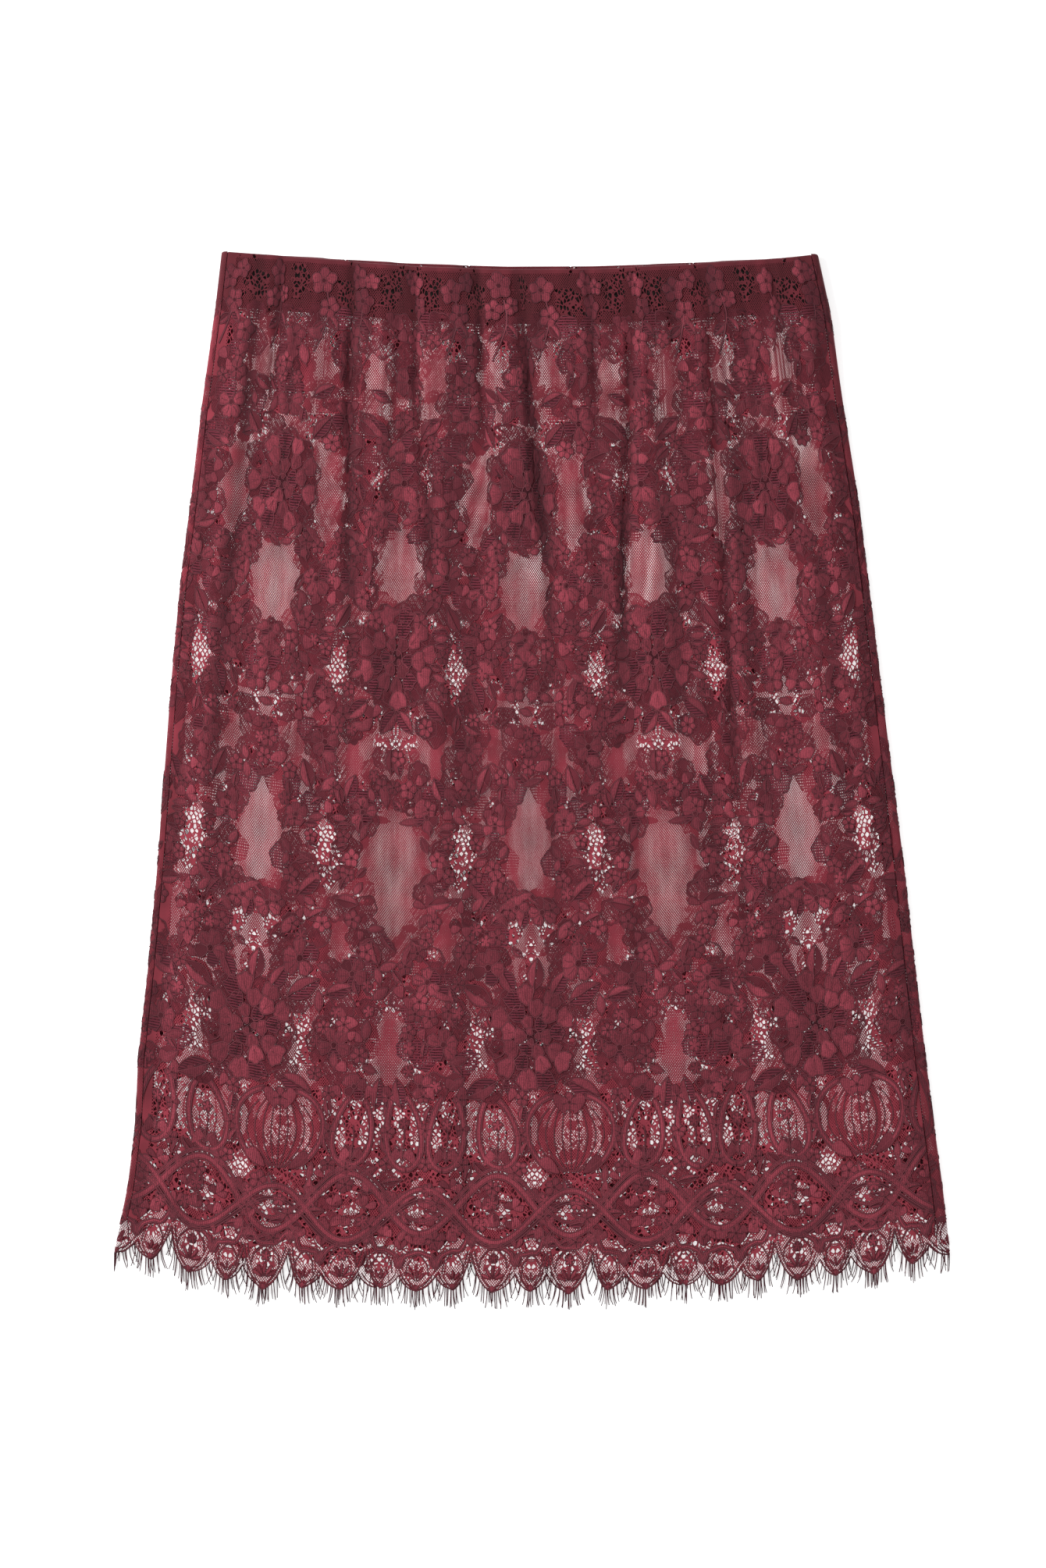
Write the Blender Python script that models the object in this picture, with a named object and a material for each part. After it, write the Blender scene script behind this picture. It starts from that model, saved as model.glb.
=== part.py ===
"""Lace pencil skirt laid flat: front and back lace panels with scalloped hems, a gathered
waist casing over one ring of elastic, side seam allowances and the eyelash fringe.

Frame: X across the skirt, Y along it with the waist at +Y, Z up. The back panel lies on Z = 0.
All sizes are in metres; the tables below are in millimetres.
"""
import math
import bpy
import numpy as np

MM = 0.001

# ------------------------------------------------------------------ driving dimensions (mm)
WALL = 1.0             # lace wall
GAP = 0.3              # clearance between pieces
ELASTIC_WALL = 1.0     # thickness of the waist elastic
ELASTIC_WIDTH = 34.5   # width of the waist elastic
CASING_DEPTH = 36.0    # depth of the lace turned in over the elastic
CASING_HALF = 3.25     # half height of the tube's middle surface at the casing
BODY_HALF = 1.30       # half height of the tube's middle surface below the hips
CASING_FADE = 62.0     # length over which the casing's height runs out below it
REPEAT = 194.5         # repeat of the lace's scalloped edge
FRONT_PHASE = 24.5     # x of the middle of a widest scallop on the front
BACK_PHASE = -24.5     # the same on the back, a quarter repeat along
BAND_ABOVE_TIPS = 29.0 # last straight row above the scallops, measured from the tip line
SEAM_LEFT = 4.6        # left side seam inside the outline
SEAM_RIGHT_TOP = 5.2   # right side seam inside the outline at the waist
SEAM_RIGHT_HEM = 8.0   # and at the hem
ALLOWANCE = 8.0        # width of a seam allowance
LASH_AT_TIP = 8.0      # reach of the fringe below a scallop's tip
LASH_IN_VALLEY = 12.0  # and below a valley
FRAME_SHIFT_X = -0.74   # shift of the whole part, so that its box is centred on the origin
FRAME_SHIFT_Y = 0.9875

# outline of the laid skirt: height up the sheet, left edge, right edge
OUTLINE = (
    # y,      left,    right
    (337.0, -199.0, 183.5),
    (298.0, -203.5, 192.0),
    (238.0, -212.0, 200.5),
    (178.0, -219.0, 210.0),
    (118.0, -226.5, 217.5),
    (58.0, -232.0, 225.0),
    (-2.0, -236.5, 232.5),
    (-62.0, -241.0, 240.0),
    (-122.0, -246.5, 246.5),
    (-182.0, -253.0, 253.5),
    (-222.0, -254.5, 258.5),
    (-262.0, -259.5, 264.0),
    (-302.0, -267.5, 268.5),
    (-340.0, -272.0, 270.0),
)

# top edge of the front: it dips towards the middle, and the back stands a little higher there
TOP_EDGE = (
    # x,     front,  back
    (-199.0, 336.8, 336.8),
    (-138.0, 332.2, 333.2),
    (-78.0, 327.5, 329.6),
    (-18.0, 325.3, 327.5),
    (42.0, 325.7, 327.7),
    (102.0, 328.7, 330.0),
    (162.0, 332.5, 332.9),
    (192.0, 335.9, 335.9),
)

# line through the tips of the widest scallops
TIP_LINE = (
    # x,     y
    (-272.0, -305.0),
    (-238.0, -312.0),
    (-205.0, -321.5),
    (-171.0, -328.5),
    (-70.0, -330.5),
    (24.5, -331.5),
    (100.0, -328.0),
    (170.0, -323.0),
    (218.0, -319.0),
    (246.0, -313.0),
    (272.0, -306.0),
)

# one repeat of the edge: each scallop's width, how far its tip stays above the tip line,
# and how far the valley after it stands above the tip line
SCALLOPS = (
    # width, tip, valley after
    (29.5, 0.0, 27.0),
    (20.0, 1.5, 13.0),
    (29.0, 1.0, 26.0),
    (22.0, 2.5, 11.0),
    (23.5, 1.0, 11.0),
    (22.0, 2.5, 26.0),
    (29.0, 1.0, 13.0),
    (20.0, 1.5, 27.0),
)

# creases of the gathered front, as fractions of the width
FRONT_CREASES = (
    # top,   end,   y of end, half width, depth
    (0.107, 0.115, 218.0, 7.0, 0.70),
    (0.222, 0.243, 118.0, 7.0, 1.00),
    (0.318, 0.364, 138.0, 6.5, 0.80),
    (0.427, 0.455, 165.0, 6.5, 0.80),
    (0.497, 0.533, 118.0, 7.0, 1.00),
    (0.608, 0.620, 218.0, 6.0, 0.60),
    (0.684, 0.626, 38.0, 7.0, 0.90),
    (0.800, 0.777, -150.0, 7.0, 1.00),
    (0.908, 0.915, 198.0, 6.5, 0.60),
)

# ridges of the gathered back
BACK_RIDGES = (
    # top,   end,   y of end, half width, height
    (0.075, 0.080, 190.0, 6.0, 0.8),
    (0.175, 0.190, 120.0, 7.0, 1.0),
    (0.290, 0.300, 175.0, 6.0, 0.9),
    (0.395, 0.380, 90.0, 7.0, 1.0),
    (0.500, 0.490, 170.0, 6.0, 0.8),
    (0.605, 0.630, 60.0, 7.0, 1.0),
    (0.720, 0.710, 150.0, 6.0, 0.9),
    (0.830, 0.850, 110.0, 7.0, 1.0),
    (0.930, 0.925, 200.0, 6.0, 0.8),
)

# rows of the panels, measured down from the top edge (mm), then as fractions of what is left
ROWS_MM = (1.6, 18.0, 36.0, 48.0, 68.0)
ROWS_FRACTION = (0.12, 0.28, 0.48, 0.74, 1.0)


# ------------------------------------------------------------------ shape of the laid skirt
def column(table, index):
    return np.array([row[index] for row in table], dtype=float)


def table_at(table, at, index):
    xs = column(table, 0)
    ys = column(table, index)
    order = np.argsort(xs)
    return np.interp(at, xs[order], ys[order])


def left_at(y):
    return table_at(OUTLINE, y, 1)


def right_at(y):
    return table_at(OUTLINE, y, 2)


def smooth(t):
    t = np.clip(t, 0.0, 1.0)
    return t * t * (3.0 - 2.0 * t)


def casing_end(x):
    """Lower end of the casing under the top edge at x."""
    return table_at(TOP_EDGE, x, 1) - CASING_DEPTH - 1.0


def half_height(x, y):
    """Half height of the tube's middle surface: tall over the elastic, low over the body."""
    down = (casing_end(x) - y) / CASING_FADE
    return BODY_HALF + (CASING_HALF - BODY_HALF) * (1.0 - smooth(down))


def across(x, y):
    return (x - left_at(y)) / (right_at(y) - left_at(y))


def ramp_ends(f, width):
    return smooth(f / width) * smooth((1.0 - f) / width)


def front_swell(x, y):
    """Rise of the gathered front above its lowest level, with its creases cut into it."""
    f = across(x, y)
    end = casing_end(x)
    top = table_at(TOP_EDGE, x, 1)
    in_casing = smooth((top - y) / 20.0)
    below = smooth((end - y) / 14.0)
    fade = np.interp(y, [-330.0, -150.0, 60.0, 200.0, 270.0], [0.15, 0.35, 0.8, 1.0, 1.0])
    level = (0.7 + 0.8 * in_casing) * (1.0 - below) + 3.3 * fade * below
    cut = np.zeros_like(f)
    for f_top, f_end, y_end, half, depth in FRONT_CREASES:
        t = np.clip((330.0 - y) / (330.0 - y_end), 0.0, 1.3)
        centre = f_top + (f_end - f_top) * t
        d = (f - centre) * (right_at(y) - left_at(y)) / half
        strength = depth * (1.0 - smooth((t - 0.55) / 0.55))
        cut = np.maximum(cut, strength * np.where(np.abs(d) < 1.0, 0.5 * (1.0 + np.cos(np.pi * d)), 0.0))
    return level * (1.0 - cut) * ramp_ends(f, 0.06)


def back_ridge(x, y):
    """Rise of the back panel's gathers off the surface it lies on."""
    f = across(x, y)
    end = casing_end(x)
    below = smooth((end - 6.0 - y) / 30.0)
    rise = np.zeros_like(f)
    for f_top, f_end, y_end, half, height in BACK_RIDGES:
        t = np.clip((330.0 - y) / (330.0 - y_end), 0.0, 1.3)
        centre = f_top + (f_end - f_top) * t
        d = (f - centre) * (right_at(y) - left_at(y)) / half
        strength = height * (1.0 - smooth((t - 0.5) / 0.5))
        rise = np.maximum(rise, strength * np.where(np.abs(d) < 1.0, 0.5 * (1.0 + np.cos(np.pi * d)), 0.0))
    return rise * below


def scallop_marks():
    """Left end, tip and heights of each scallop of one repeat, with the first one centred on 0."""
    marks = []
    at = -SCALLOPS[0][0] / 2.0
    before = SCALLOPS[-1][2]
    for width, tip, after in SCALLOPS:
        marks.append((at, at + width, tip, before, after))
        at += width
        before = after
    return marks


def edge_height(u):
    """Height of the scalloped edge above the tip line, at distance u from a widest scallop."""
    u = (u + SCALLOPS[0][0] / 2.0) % REPEAT - SCALLOPS[0][0] / 2.0
    for start, end, tip, before, after in scallop_marks():
        if start <= u <= end:
            middle = (start + end) / 2.0
            s = abs(u - middle) / (middle - start)
            valley = before if u < middle else after
            return tip + (valley - tip) * (0.35 * s + 0.65 * s ** 3)
    return SCALLOPS[0][1]


def edge_columns(low, high, phase):
    """Places across the hem at which the edge has a valley, a tip or the point between them."""
    places = []
    first = int(math.floor((low - phase) / REPEAT)) - 1
    last = int(math.ceil((high - phase) / REPEAT)) + 1
    for k in range(first, last + 1):
        for start, end, _tip, _before, _after in scallop_marks():
            quarter = (end - start) / 4.0
            places.extend(phase + k * REPEAT + start + quarter * i for i in range(4))
    inner = [p for p in sorted(places) if low + 2.2 < p < high - 2.2]
    return [low] + inner + [high]


# ------------------------------------------------------------------ solids from middle surfaces
def offset_vectors(points, triangles):
    """For each point the vector that moves every face around it out by one unit."""
    corners = points[triangles]
    normals = np.cross(corners[:, 1] - corners[:, 0], corners[:, 2] - corners[:, 0])
    normals /= np.linalg.norm(normals, axis=1)[:, None]
    around = [[] for _ in range(len(points))]
    for number, triangle in enumerate(triangles):
        for vertex in triangle:
            around[vertex].append(number)
    out = np.zeros_like(points)
    for vertex, faces in enumerate(around):
        rows = normals[faces]
        solved = np.linalg.lstsq(rows, np.ones(len(faces)), rcond=0.12)[0]
        length = np.linalg.norm(solved)
        if length > 1.45:
            solved *= 1.45 / length
        out[vertex] = solved
    return out


def grid_triangles(nu, nv, closed):
    triangles = []
    for i in range(nu if closed else nu - 1):
        k = (i + 1) % nu
        for j in range(nv - 1):
            a, b = i * nv + j, k * nv + j
            c, d = k * nv + j + 1, i * nv + j + 1
            if (i + j) % 2:
                triangles += [(a, b, c), (a, c, d)]
            else:
                triangles += [(a, b, d), (b, c, d)]
    return np.array(triangles)


def wall_solid(name, grid, thickness, material, closed=False):
    """A wall of even thickness about a grid of points, its front face on the right-hand side."""
    nu, nv, _ = grid.shape
    middle = grid.reshape(-1, 3)
    faces = grid_triangles(nu, nv, closed)
    out = offset_vectors(middle, faces) * (thickness / 2.0)
    vertices = np.vstack([middle + out, middle - out])
    n = len(middle)
    triangles = [tuple(f) for f in faces]
    triangles += [(f[0] + n, f[2] + n, f[1] + n) for f in faces]

    def rim(path):
        for a, b in zip(path[:-1], path[1:]):
            triangles.append((b, a, a + n))
            triangles.append((b, a + n, b + n))

    ends = list(range(nu)) + ([0] if closed else [])
    rim([i * nv for i in ends])
    rim([i * nv + nv - 1 for i in reversed(ends)])
    if not closed:
        rim([(nu - 1) * nv + j for j in range(nv)])
        rim([j for j in reversed(range(nv))])
    shift = np.array([FRAME_SHIFT_X, FRAME_SHIFT_Y, 0.0])
    mesh = bpy.data.meshes.new(name)
    mesh.from_pydata([tuple((v + shift) * MM) for v in vertices], [], [tuple(int(i) for i in t) for t in triangles])
    mesh.update()
    mesh.materials.append(material)
    thing = bpy.data.objects.new(name, mesh)
    bpy.context.scene.collection.objects.link(thing)
    return thing


def surface(name, colour, roughness):
    material = bpy.data.materials.new(name)
    material.use_nodes = True
    shader = material.node_tree.nodes["Principled BSDF"]
    shader.inputs["Base Color"].default_value = (*colour, 1.0)
    shader.inputs["Roughness"].default_value = roughness
    shader.inputs["Metallic"].default_value = 0.0
    return material


# ------------------------------------------------------------------ places on the laid tube
SEAM_RIGHT_TABLE = ((337.0, SEAM_RIGHT_TOP), (150.0, SEAM_RIGHT_TOP), (-60.0, SEAM_RIGHT_HEM - 1.0), (-340.0, SEAM_RIGHT_HEM))


def seam_left_at(y):
    return left_at(y) + SEAM_LEFT


def seam_right_at(y):
    return right_at(y) - table_at(SEAM_RIGHT_TABLE, y, 1)


def rows_down(top, base, steps_mm, steps_fraction):
    """Heights of a panel's rows at one column, from the top edge down to the band row."""
    rows = [top - d for d in steps_mm]
    rest = rows[-1] - base
    start = rows[-1]
    rows += [start - rest * t for t in steps_fraction]
    return rows


def band_row(x):
    return table_at(TIP_LINE, x, 1) + BAND_ABOVE_TIPS


def panel_heights(x_hem, x_top, back, edge):
    """All heights of one column, from the scalloped edge up to the top edge."""
    top = float(table_at(TOP_EDGE, x_top, 2 if back else 1))
    base = float(band_row(x_hem))
    rows = rows_down(top, base, ROWS_MM, ROWS_FRACTION)
    return [edge] + rows[::-1], top


def turn_in(outer_top, outward, top, x_step):
    """Points that carry a column over the elastic's top edge and down inside it."""
    depth = WALL + 2.0 * GAP + ELASTIC_WALL
    over = outer_top - outward * depth / 2.0
    over = np.array([over[0], top, over[2]])
    inner = outer_top - outward * depth
    low = inner + np.array([x_step, -(CASING_DEPTH - 2.0), 0.0])
    return [over, inner, low]


BACK_HEM = (-265.0, 266.5)


def front_hem():
    return float(seam_left_at(-300.0)) + 0.25, float(seam_right_at(-300.0)) - 0.25


def front_x(f, y):
    a = seam_left_at(y) + 0.25
    b = seam_right_at(y) - 0.25
    return float(a + f * (b - a))


def front_panel(material):
    low, high = front_hem()
    places = edge_columns(low, high, FRONT_PHASE)
    columns = []
    for place in places:
        f = (place - low) / (high - low)
        edge = float(table_at(TIP_LINE, place, 1)) + edge_height(place - FRONT_PHASE)
        heights, top = panel_heights(place, front_x(f, 330.0), False, edge)
        points = []
        for y in heights:
            x = front_x(f, y)
            z = WALL / 2.0 + 2.0 * float(half_height(x, y)) + float(front_swell(np.array(x), np.array(y)))
            points.append(np.array([x, y, z]))
        level = points[-1].copy()
        level[2] = WALL / 2.0 + 2.0 * CASING_HALF
        step = front_x(f, top - CASING_DEPTH) - front_x(f, top - ROWS_MM[0])
        points += turn_in(level, np.array([0.0, 0.0, 1.0]), top, step)
        points[-3][2] = (points[-4][2] + points[-2][2]) / 2.0
        columns.append(points)
    grid = np.array(columns)
    return wall_solid("front_panel", grid, WALL, material)


def loop_place(kind, value, y):
    """A point of the back panel and its outward direction: on the underside, round a bend or on top."""
    if kind == "flat":
        a = left_at(y)
        b = right_at(y)
        x0 = a + (half_height(a, y) + WALL / 2.0)
        x1 = b - (half_height(b, y) + WALL / 2.0)
        x = float(x0 + value * (x1 - x0))
        return np.array([x, y, WALL / 2.0 + float(back_ridge(np.array(x), np.array(y)))]), np.array([0.0, 0.0, -1.0])
    side = 1.0 if kind.endswith("right") else -1.0
    edge = float(right_at(y) if side > 0 else left_at(y))
    h = float(half_height(edge, y))
    centre = edge - side * (h + WALL / 2.0)
    if kind.startswith("bend"):
        out = np.array([side * math.sin(value), 0.0, -math.cos(value)])
        return np.array([centre, y, WALL / 2.0 + h]) + h * out, out
    seam = float(seam_right_at(y) if side > 0 else seam_left_at(y)) + side * 0.2
    x = centre + value * (seam - centre)
    return np.array([x, y, WALL / 2.0 + 2.0 * h]), np.array([0.0, 0.0, 1.0])


def back_panel(material):
    low, high = BACK_HEM
    places = edge_columns(low, high, BACK_PHASE)
    bends = [math.radians(a) for a in (45.0, 90.0, 135.0, 180.0)]
    stops = [("top_left", 1.0, low)]
    stops += [("bend_left", a, low) for a in reversed(bends)]
    stops += [("flat", (p - low) / (high - low), p) for p in places]
    stops += [("bend_right", a, high) for a in bends]
    stops += [("top_right", 1.0, high)]
    columns = []
    for kind, value, place in stops:
        if kind == "flat":
            edge = float(table_at(TIP_LINE, place, 1)) + edge_height(place - BACK_PHASE)
            x_top = float(loop_place(kind, value, 330.0)[0][0])
        else:
            edge = float(table_at(TIP_LINE, place, 1)) + 14.0
            x_top = float(right_at(336.0) if kind.endswith("right") else left_at(336.0))
        heights, top = panel_heights(place, x_top, True, edge)
        points = [loop_place(kind, value, y)[0] for y in heights]
        last, outward = loop_place(kind, value, heights[-1])
        lower, _ = loop_place(kind, value, heights[-1] - (CASING_DEPTH - 2.0))
        points += turn_in(last, outward, top, lower[0] - last[0])
        columns.append(points)
    grid = np.array(columns)
    return wall_solid("back_panel", grid, WALL, material)


def waist_elastic(material):
    """A flattened ring between the outer lace and the lace turned in over it."""
    inset = WALL / 2.0 + GAP + ELASTIC_WALL / 2.0
    bends = [math.radians(a) for a in (45.0, 90.0, 135.0)]
    across_steps = [i / 14.0 for i in range(15)]
    stops = [("flat", t) for t in across_steps]
    stops += [("bend_right", a) for a in bends]
    stops += [("front", t) for t in reversed(across_steps)]
    stops += [("bend_left", a) for a in reversed(bends)]
    columns = []
    for kind, value in stops:
        points = []
        if kind in ("flat", "front"):
            back = kind == "flat"
            x_mid = float(loop_place("flat", value, 330.0)[0][0])
            top = float(table_at(TOP_EDGE, x_mid, 2 if back else 1))
            if value in (0.0, 1.0):
                top = float(table_at(TOP_EDGE, x_mid, 1))
        else:
            x_mid = float(right_at(336.0) if kind.endswith("right") else left_at(336.0))
            top = float(table_at(TOP_EDGE, x_mid, 1))
        for y in (top - 2.1 - ELASTIC_WIDTH + 1.6, top - 2.1):
            if kind in ("flat", "front"):
                x = float(loop_place("flat", value, y)[0][0])
                z = WALL / 2.0 + inset if kind == "flat" else WALL / 2.0 + 2.0 * CASING_HALF - inset
                points.append(np.array([x, y, z]))
            else:
                at, out = loop_place(kind, value, y)
                points.append(at - out * inset)
        columns.append(points)
    grid = np.array(columns)
    return wall_solid("waist_elastic", grid, ELASTIC_WALL, material, closed=True)


def seam_allowance(name, side, material):
    """The raw edges of a side seam, pressed as one strip between the panels."""
    columns = []
    steps = [i / 9.0 for i in range(10)]
    y_top = 290.0
    y_low = -268.0
    for t_across in (0.0, 1.0):
        points = []
        for t in reversed(steps):
            y = y_top + (y_low - y_top) * t
            if side < 0:
                x = float(seam_left_at(y)) + ALLOWANCE * t_across
            else:
                x = float(seam_right_at(y)) - ALLOWANCE * (1.0 - t_across)
            points.append(np.array([x, y, WALL + GAP + WALL / 2.0]))
        columns.append(points)
    grid = np.array(columns)
    return wall_solid(name, grid, WALL, material)


def lash_fringe(name, back, material):
    """The reach of the loose thread ends below the scalloped edge."""
    phase = BACK_PHASE if back else FRONT_PHASE
    low, high = BACK_HEM if back else front_hem()
    places = edge_columns(low, high, phase)
    columns = []
    for place in places:
        tip_line = float(table_at(TIP_LINE, place, 1))
        height = edge_height(place - phase)
        edge = tip_line + height
        deep = LASH_AT_TIP + (LASH_IN_VALLEY - LASH_AT_TIP) * min(height / 14.0, 1.0)
        f = (place - low) / (high - low)
        if back:
            x = float(loop_place("flat", f, edge)[0][0])
            z = WALL / 2.0
        else:
            x = front_x(f, edge)
            z = WALL / 2.0 + 2.0 * BODY_HALF + float(front_swell(np.array(x), np.array(edge)))
        columns.append([np.array([x, edge - deep, z]), np.array([x, edge - 0.8, z])])
    grid = np.array(columns)
    return wall_solid(name, grid, WALL, material)


def main():
    for thing in list(bpy.data.objects):
        bpy.data.objects.remove(thing, do_unlink=True)
    lace = surface("burgundy_lace", (0.175, 0.022, 0.040), 0.75)
    lace_back = surface("burgundy_lace_back", (0.120, 0.014, 0.028), 0.78)
    elastic = surface("dark_elastic", (0.020, 0.012, 0.013), 0.85)
    seam = surface("burgundy_seam", (0.100, 0.012, 0.024), 0.80)
    thread = surface("burgundy_thread", (0.110, 0.018, 0.030), 0.70)
    back_panel(lace_back)
    front_panel(lace)
    waist_elastic(elastic)
    seam_allowance("seam_allowance_left", -1.0, seam)
    seam_allowance("seam_allowance_right", 1.0, seam)
    lash_fringe("lash_fringe_front", False, thread)
    lash_fringe("lash_fringe_back", True, thread)


main()
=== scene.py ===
"""Lace pencil skirt laid flat: two panels of burgundy corded lace over net, a gathered casing
over a dark waist elastic, overlocked side seams, and an eyelash fringe along a scalloped hem.

Lengths are in millimetres until the meshes are made. The lace of each panel is drawn in its own
cloth coordinates: u across, measured from the middle of a widest scallop, and v up from the line
through the scallops' tips. place_front and place_back lay a point of the cloth on its panel.
"""
import math
import bpy
import numpy as np
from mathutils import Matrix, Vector, geometry


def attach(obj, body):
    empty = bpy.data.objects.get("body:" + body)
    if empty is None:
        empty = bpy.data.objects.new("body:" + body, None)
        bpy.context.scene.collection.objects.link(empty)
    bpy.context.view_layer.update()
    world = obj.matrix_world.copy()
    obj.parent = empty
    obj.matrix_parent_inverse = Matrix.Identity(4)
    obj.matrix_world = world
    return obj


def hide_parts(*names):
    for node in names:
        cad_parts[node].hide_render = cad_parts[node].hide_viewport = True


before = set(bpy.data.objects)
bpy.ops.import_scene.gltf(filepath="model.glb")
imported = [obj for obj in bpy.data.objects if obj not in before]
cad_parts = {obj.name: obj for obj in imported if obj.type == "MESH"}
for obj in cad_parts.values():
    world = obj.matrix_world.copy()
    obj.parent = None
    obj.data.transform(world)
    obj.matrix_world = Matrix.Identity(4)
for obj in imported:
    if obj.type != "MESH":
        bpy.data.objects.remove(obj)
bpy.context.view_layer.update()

MM = 0.001
PI = math.pi

# ------------------------------------------------------------------ sizes shared with the solids
WALL = 1.0
CASING_DEPTH = 36.0
CASING_HALF = 3.25
BODY_HALF = 1.30
CASING_FADE = 62.0
REPEAT = 194.5
SEAM_LEFT = 4.6
ALLOWANCE = 8.0
SHIFT_X = -0.74
SHIFT_Y = 0.9875

OUTLINE = (
    # y,      left,    right
    (337.0, -199.0, 183.5), (298.0, -203.5, 192.0), (238.0, -212.0, 200.5), (178.0, -219.0, 210.0),
    (118.0, -226.5, 217.5), (58.0, -232.0, 225.0), (-2.0, -236.5, 232.5), (-62.0, -241.0, 240.0),
    (-122.0, -246.5, 246.5), (-182.0, -253.0, 253.5), (-222.0, -254.5, 258.5), (-262.0, -259.5, 264.0),
    (-302.0, -267.5, 268.5), (-340.0, -272.0, 270.0),
)
TOP_EDGE = (
    # x,     front,  back
    (-199.0, 336.8, 336.8), (-138.0, 332.2, 333.2), (-78.0, 327.5, 329.6), (-18.0, 325.3, 327.5),
    (42.0, 325.7, 327.7), (102.0, 328.7, 330.0), (162.0, 332.5, 332.9), (192.0, 335.9, 335.9),
)
TIP_LINE = (
    # x,     y
    (-272.0, -305.0), (-238.0, -312.0), (-205.0, -321.5), (-171.0, -328.5), (-70.0, -330.5), (24.5, -331.5),
    (100.0, -328.0), (170.0, -323.0), (218.0, -319.0), (246.0, -313.0), (272.0, -306.0),
)
SCALLOPS = (
    # width, tip, valley after
    (29.5, 0.0, 27.0), (20.0, 1.5, 13.0), (29.0, 1.0, 26.0), (22.0, 2.5, 11.0),
    (23.5, 1.0, 11.0), (22.0, 2.5, 26.0), (29.0, 1.0, 13.0), (20.0, 1.5, 27.0),
)
FRONT_CREASES = (
    # top,   end,   y of end, half width, depth
    (0.107, 0.115, 218.0, 7.0, 0.70), (0.222, 0.243, 118.0, 7.0, 1.00), (0.318, 0.364, 138.0, 6.5, 0.80),
    (0.427, 0.455, 165.0, 6.5, 0.80), (0.497, 0.533, 118.0, 7.0, 1.00), (0.608, 0.620, 218.0, 6.0, 0.60),
    (0.684, 0.626, 38.0, 7.0, 0.90), (0.800, 0.777, -150.0, 7.0, 1.00), (0.908, 0.915, 198.0, 6.5, 0.60),
)
BACK_RIDGES = (
    # top,   end,   y of end, half width, height
    (0.075, 0.080, 190.0, 6.0, 0.8), (0.175, 0.190, 120.0, 7.0, 1.0), (0.290, 0.300, 175.0, 6.0, 0.9),
    (0.395, 0.380, 90.0, 7.0, 1.0), (0.500, 0.490, 170.0, 6.0, 0.8), (0.605, 0.630, 60.0, 7.0, 1.0),
    (0.720, 0.710, 150.0, 6.0, 0.9), (0.830, 0.850, 110.0, 7.0, 1.0), (0.930, 0.925, 200.0, 6.0, 0.8),
)
SEAM_RIGHT_TABLE = ((337.0, 5.2), (150.0, 5.2), (-60.0, 7.0), (-340.0, 8.0))

# ------------------------------------------------------------------ sizes of the lace
CLOTH = 536.0          # width of each panel's cloth
V_TOP = 660.0          # from the tip line to the waist fold
TURN_R = 1.3           # radius of the waist fold
TURN_V = V_TOP - TURN_R
MIRROR = -48.6         # the back's u is MIRROR minus the front's u


def table_at(table, at, index):
    xs = np.array([row[0] for row in table], dtype=float)
    ys = np.array([row[index] for row in table], dtype=float)
    order = np.argsort(xs)
    return np.interp(at, xs[order], ys[order])


def left_at(y):
    return table_at(OUTLINE, y, 1)


def right_at(y):
    return table_at(OUTLINE, y, 2)


def smooth(t):
    t = np.clip(t, 0.0, 1.0)
    return t * t * (3.0 - 2.0 * t)


def casing_end(x):
    return table_at(TOP_EDGE, x, 1) - CASING_DEPTH - 1.0


def half_height(x, y):
    down = (casing_end(x) - y) / CASING_FADE
    return BODY_HALF + (CASING_HALF - BODY_HALF) * (1.0 - smooth(down))


def across(x, y):
    return (x - left_at(y)) / (right_at(y) - left_at(y))


def bumps(x, y, folds, keep, fade):
    """The highest of a list of soft vertical folds at each point, from 0 to each one's height."""
    f = across(x, y)
    wide = right_at(y) - left_at(y)
    best = np.zeros_like(f)
    for f_top, f_end, y_end, half, size in folds:
        t = np.clip((330.0 - y) / (330.0 - y_end), 0.0, 1.3)
        centre = f_top + (f_end - f_top) * t
        d = (f - centre) * wide / half
        strength = size * (1.0 - smooth((t - keep) / fade))
        best = np.maximum(best, strength * np.where(np.abs(d) < 1.0, 0.5 * (1.0 + np.cos(PI * d)), 0.0))
    return best


def front_swell(x, y):
    f = across(x, y)
    end = casing_end(x)
    top = table_at(TOP_EDGE, x, 1)
    in_casing = smooth((top - y) / 20.0)
    below = smooth((end - y) / 14.0)
    fade = np.interp(y, [-330.0, -150.0, 60.0, 200.0, 270.0], [0.15, 0.35, 0.8, 1.0, 1.0])
    level = (0.7 + 0.8 * in_casing) * (1.0 - below) + 3.3 * fade * below
    cut = bumps(x, y, FRONT_CREASES, 0.55, 0.55)
    return level * (1.0 - cut) * smooth(f / 0.06) * smooth((1.0 - f) / 0.06)


def back_ridge(x, y):
    return bumps(x, y, BACK_RIDGES, 0.5, 0.5) * smooth((casing_end(x) - 6.0 - y) / 30.0)


def gathers(x, y, seed):
    """Fine gathers that the elastic draws in, uneven across and dying out down the skirt."""
    s = across(x, y) * 385.0
    drift = 3.5 * np.sin(s / 31.0 + seed) + 2.0 * np.sin(s / 13.7 + 2.0 * seed)
    wave = 0.34 * np.sin((s + drift) * 2 * PI / 11.5 + 0.9) + 0.22 * np.sin((s - drift) * 2 * PI / 6.7 + seed)
    wave += 0.20 * np.sin((s + 2.0 * drift) * 2 * PI / 19.0)
    patch = 0.55 + 0.45 * np.sin(s / 17.0 + 1.7 * seed) * np.sin(s / 44.0 - seed)
    depth = np.interp(y, [-60.0, 90.0, 190.0, 262.0, 296.0, 330.0], [0.0, 0.10, 0.40, 0.85, 1.0, 0.75])
    return wave * patch * depth


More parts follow.
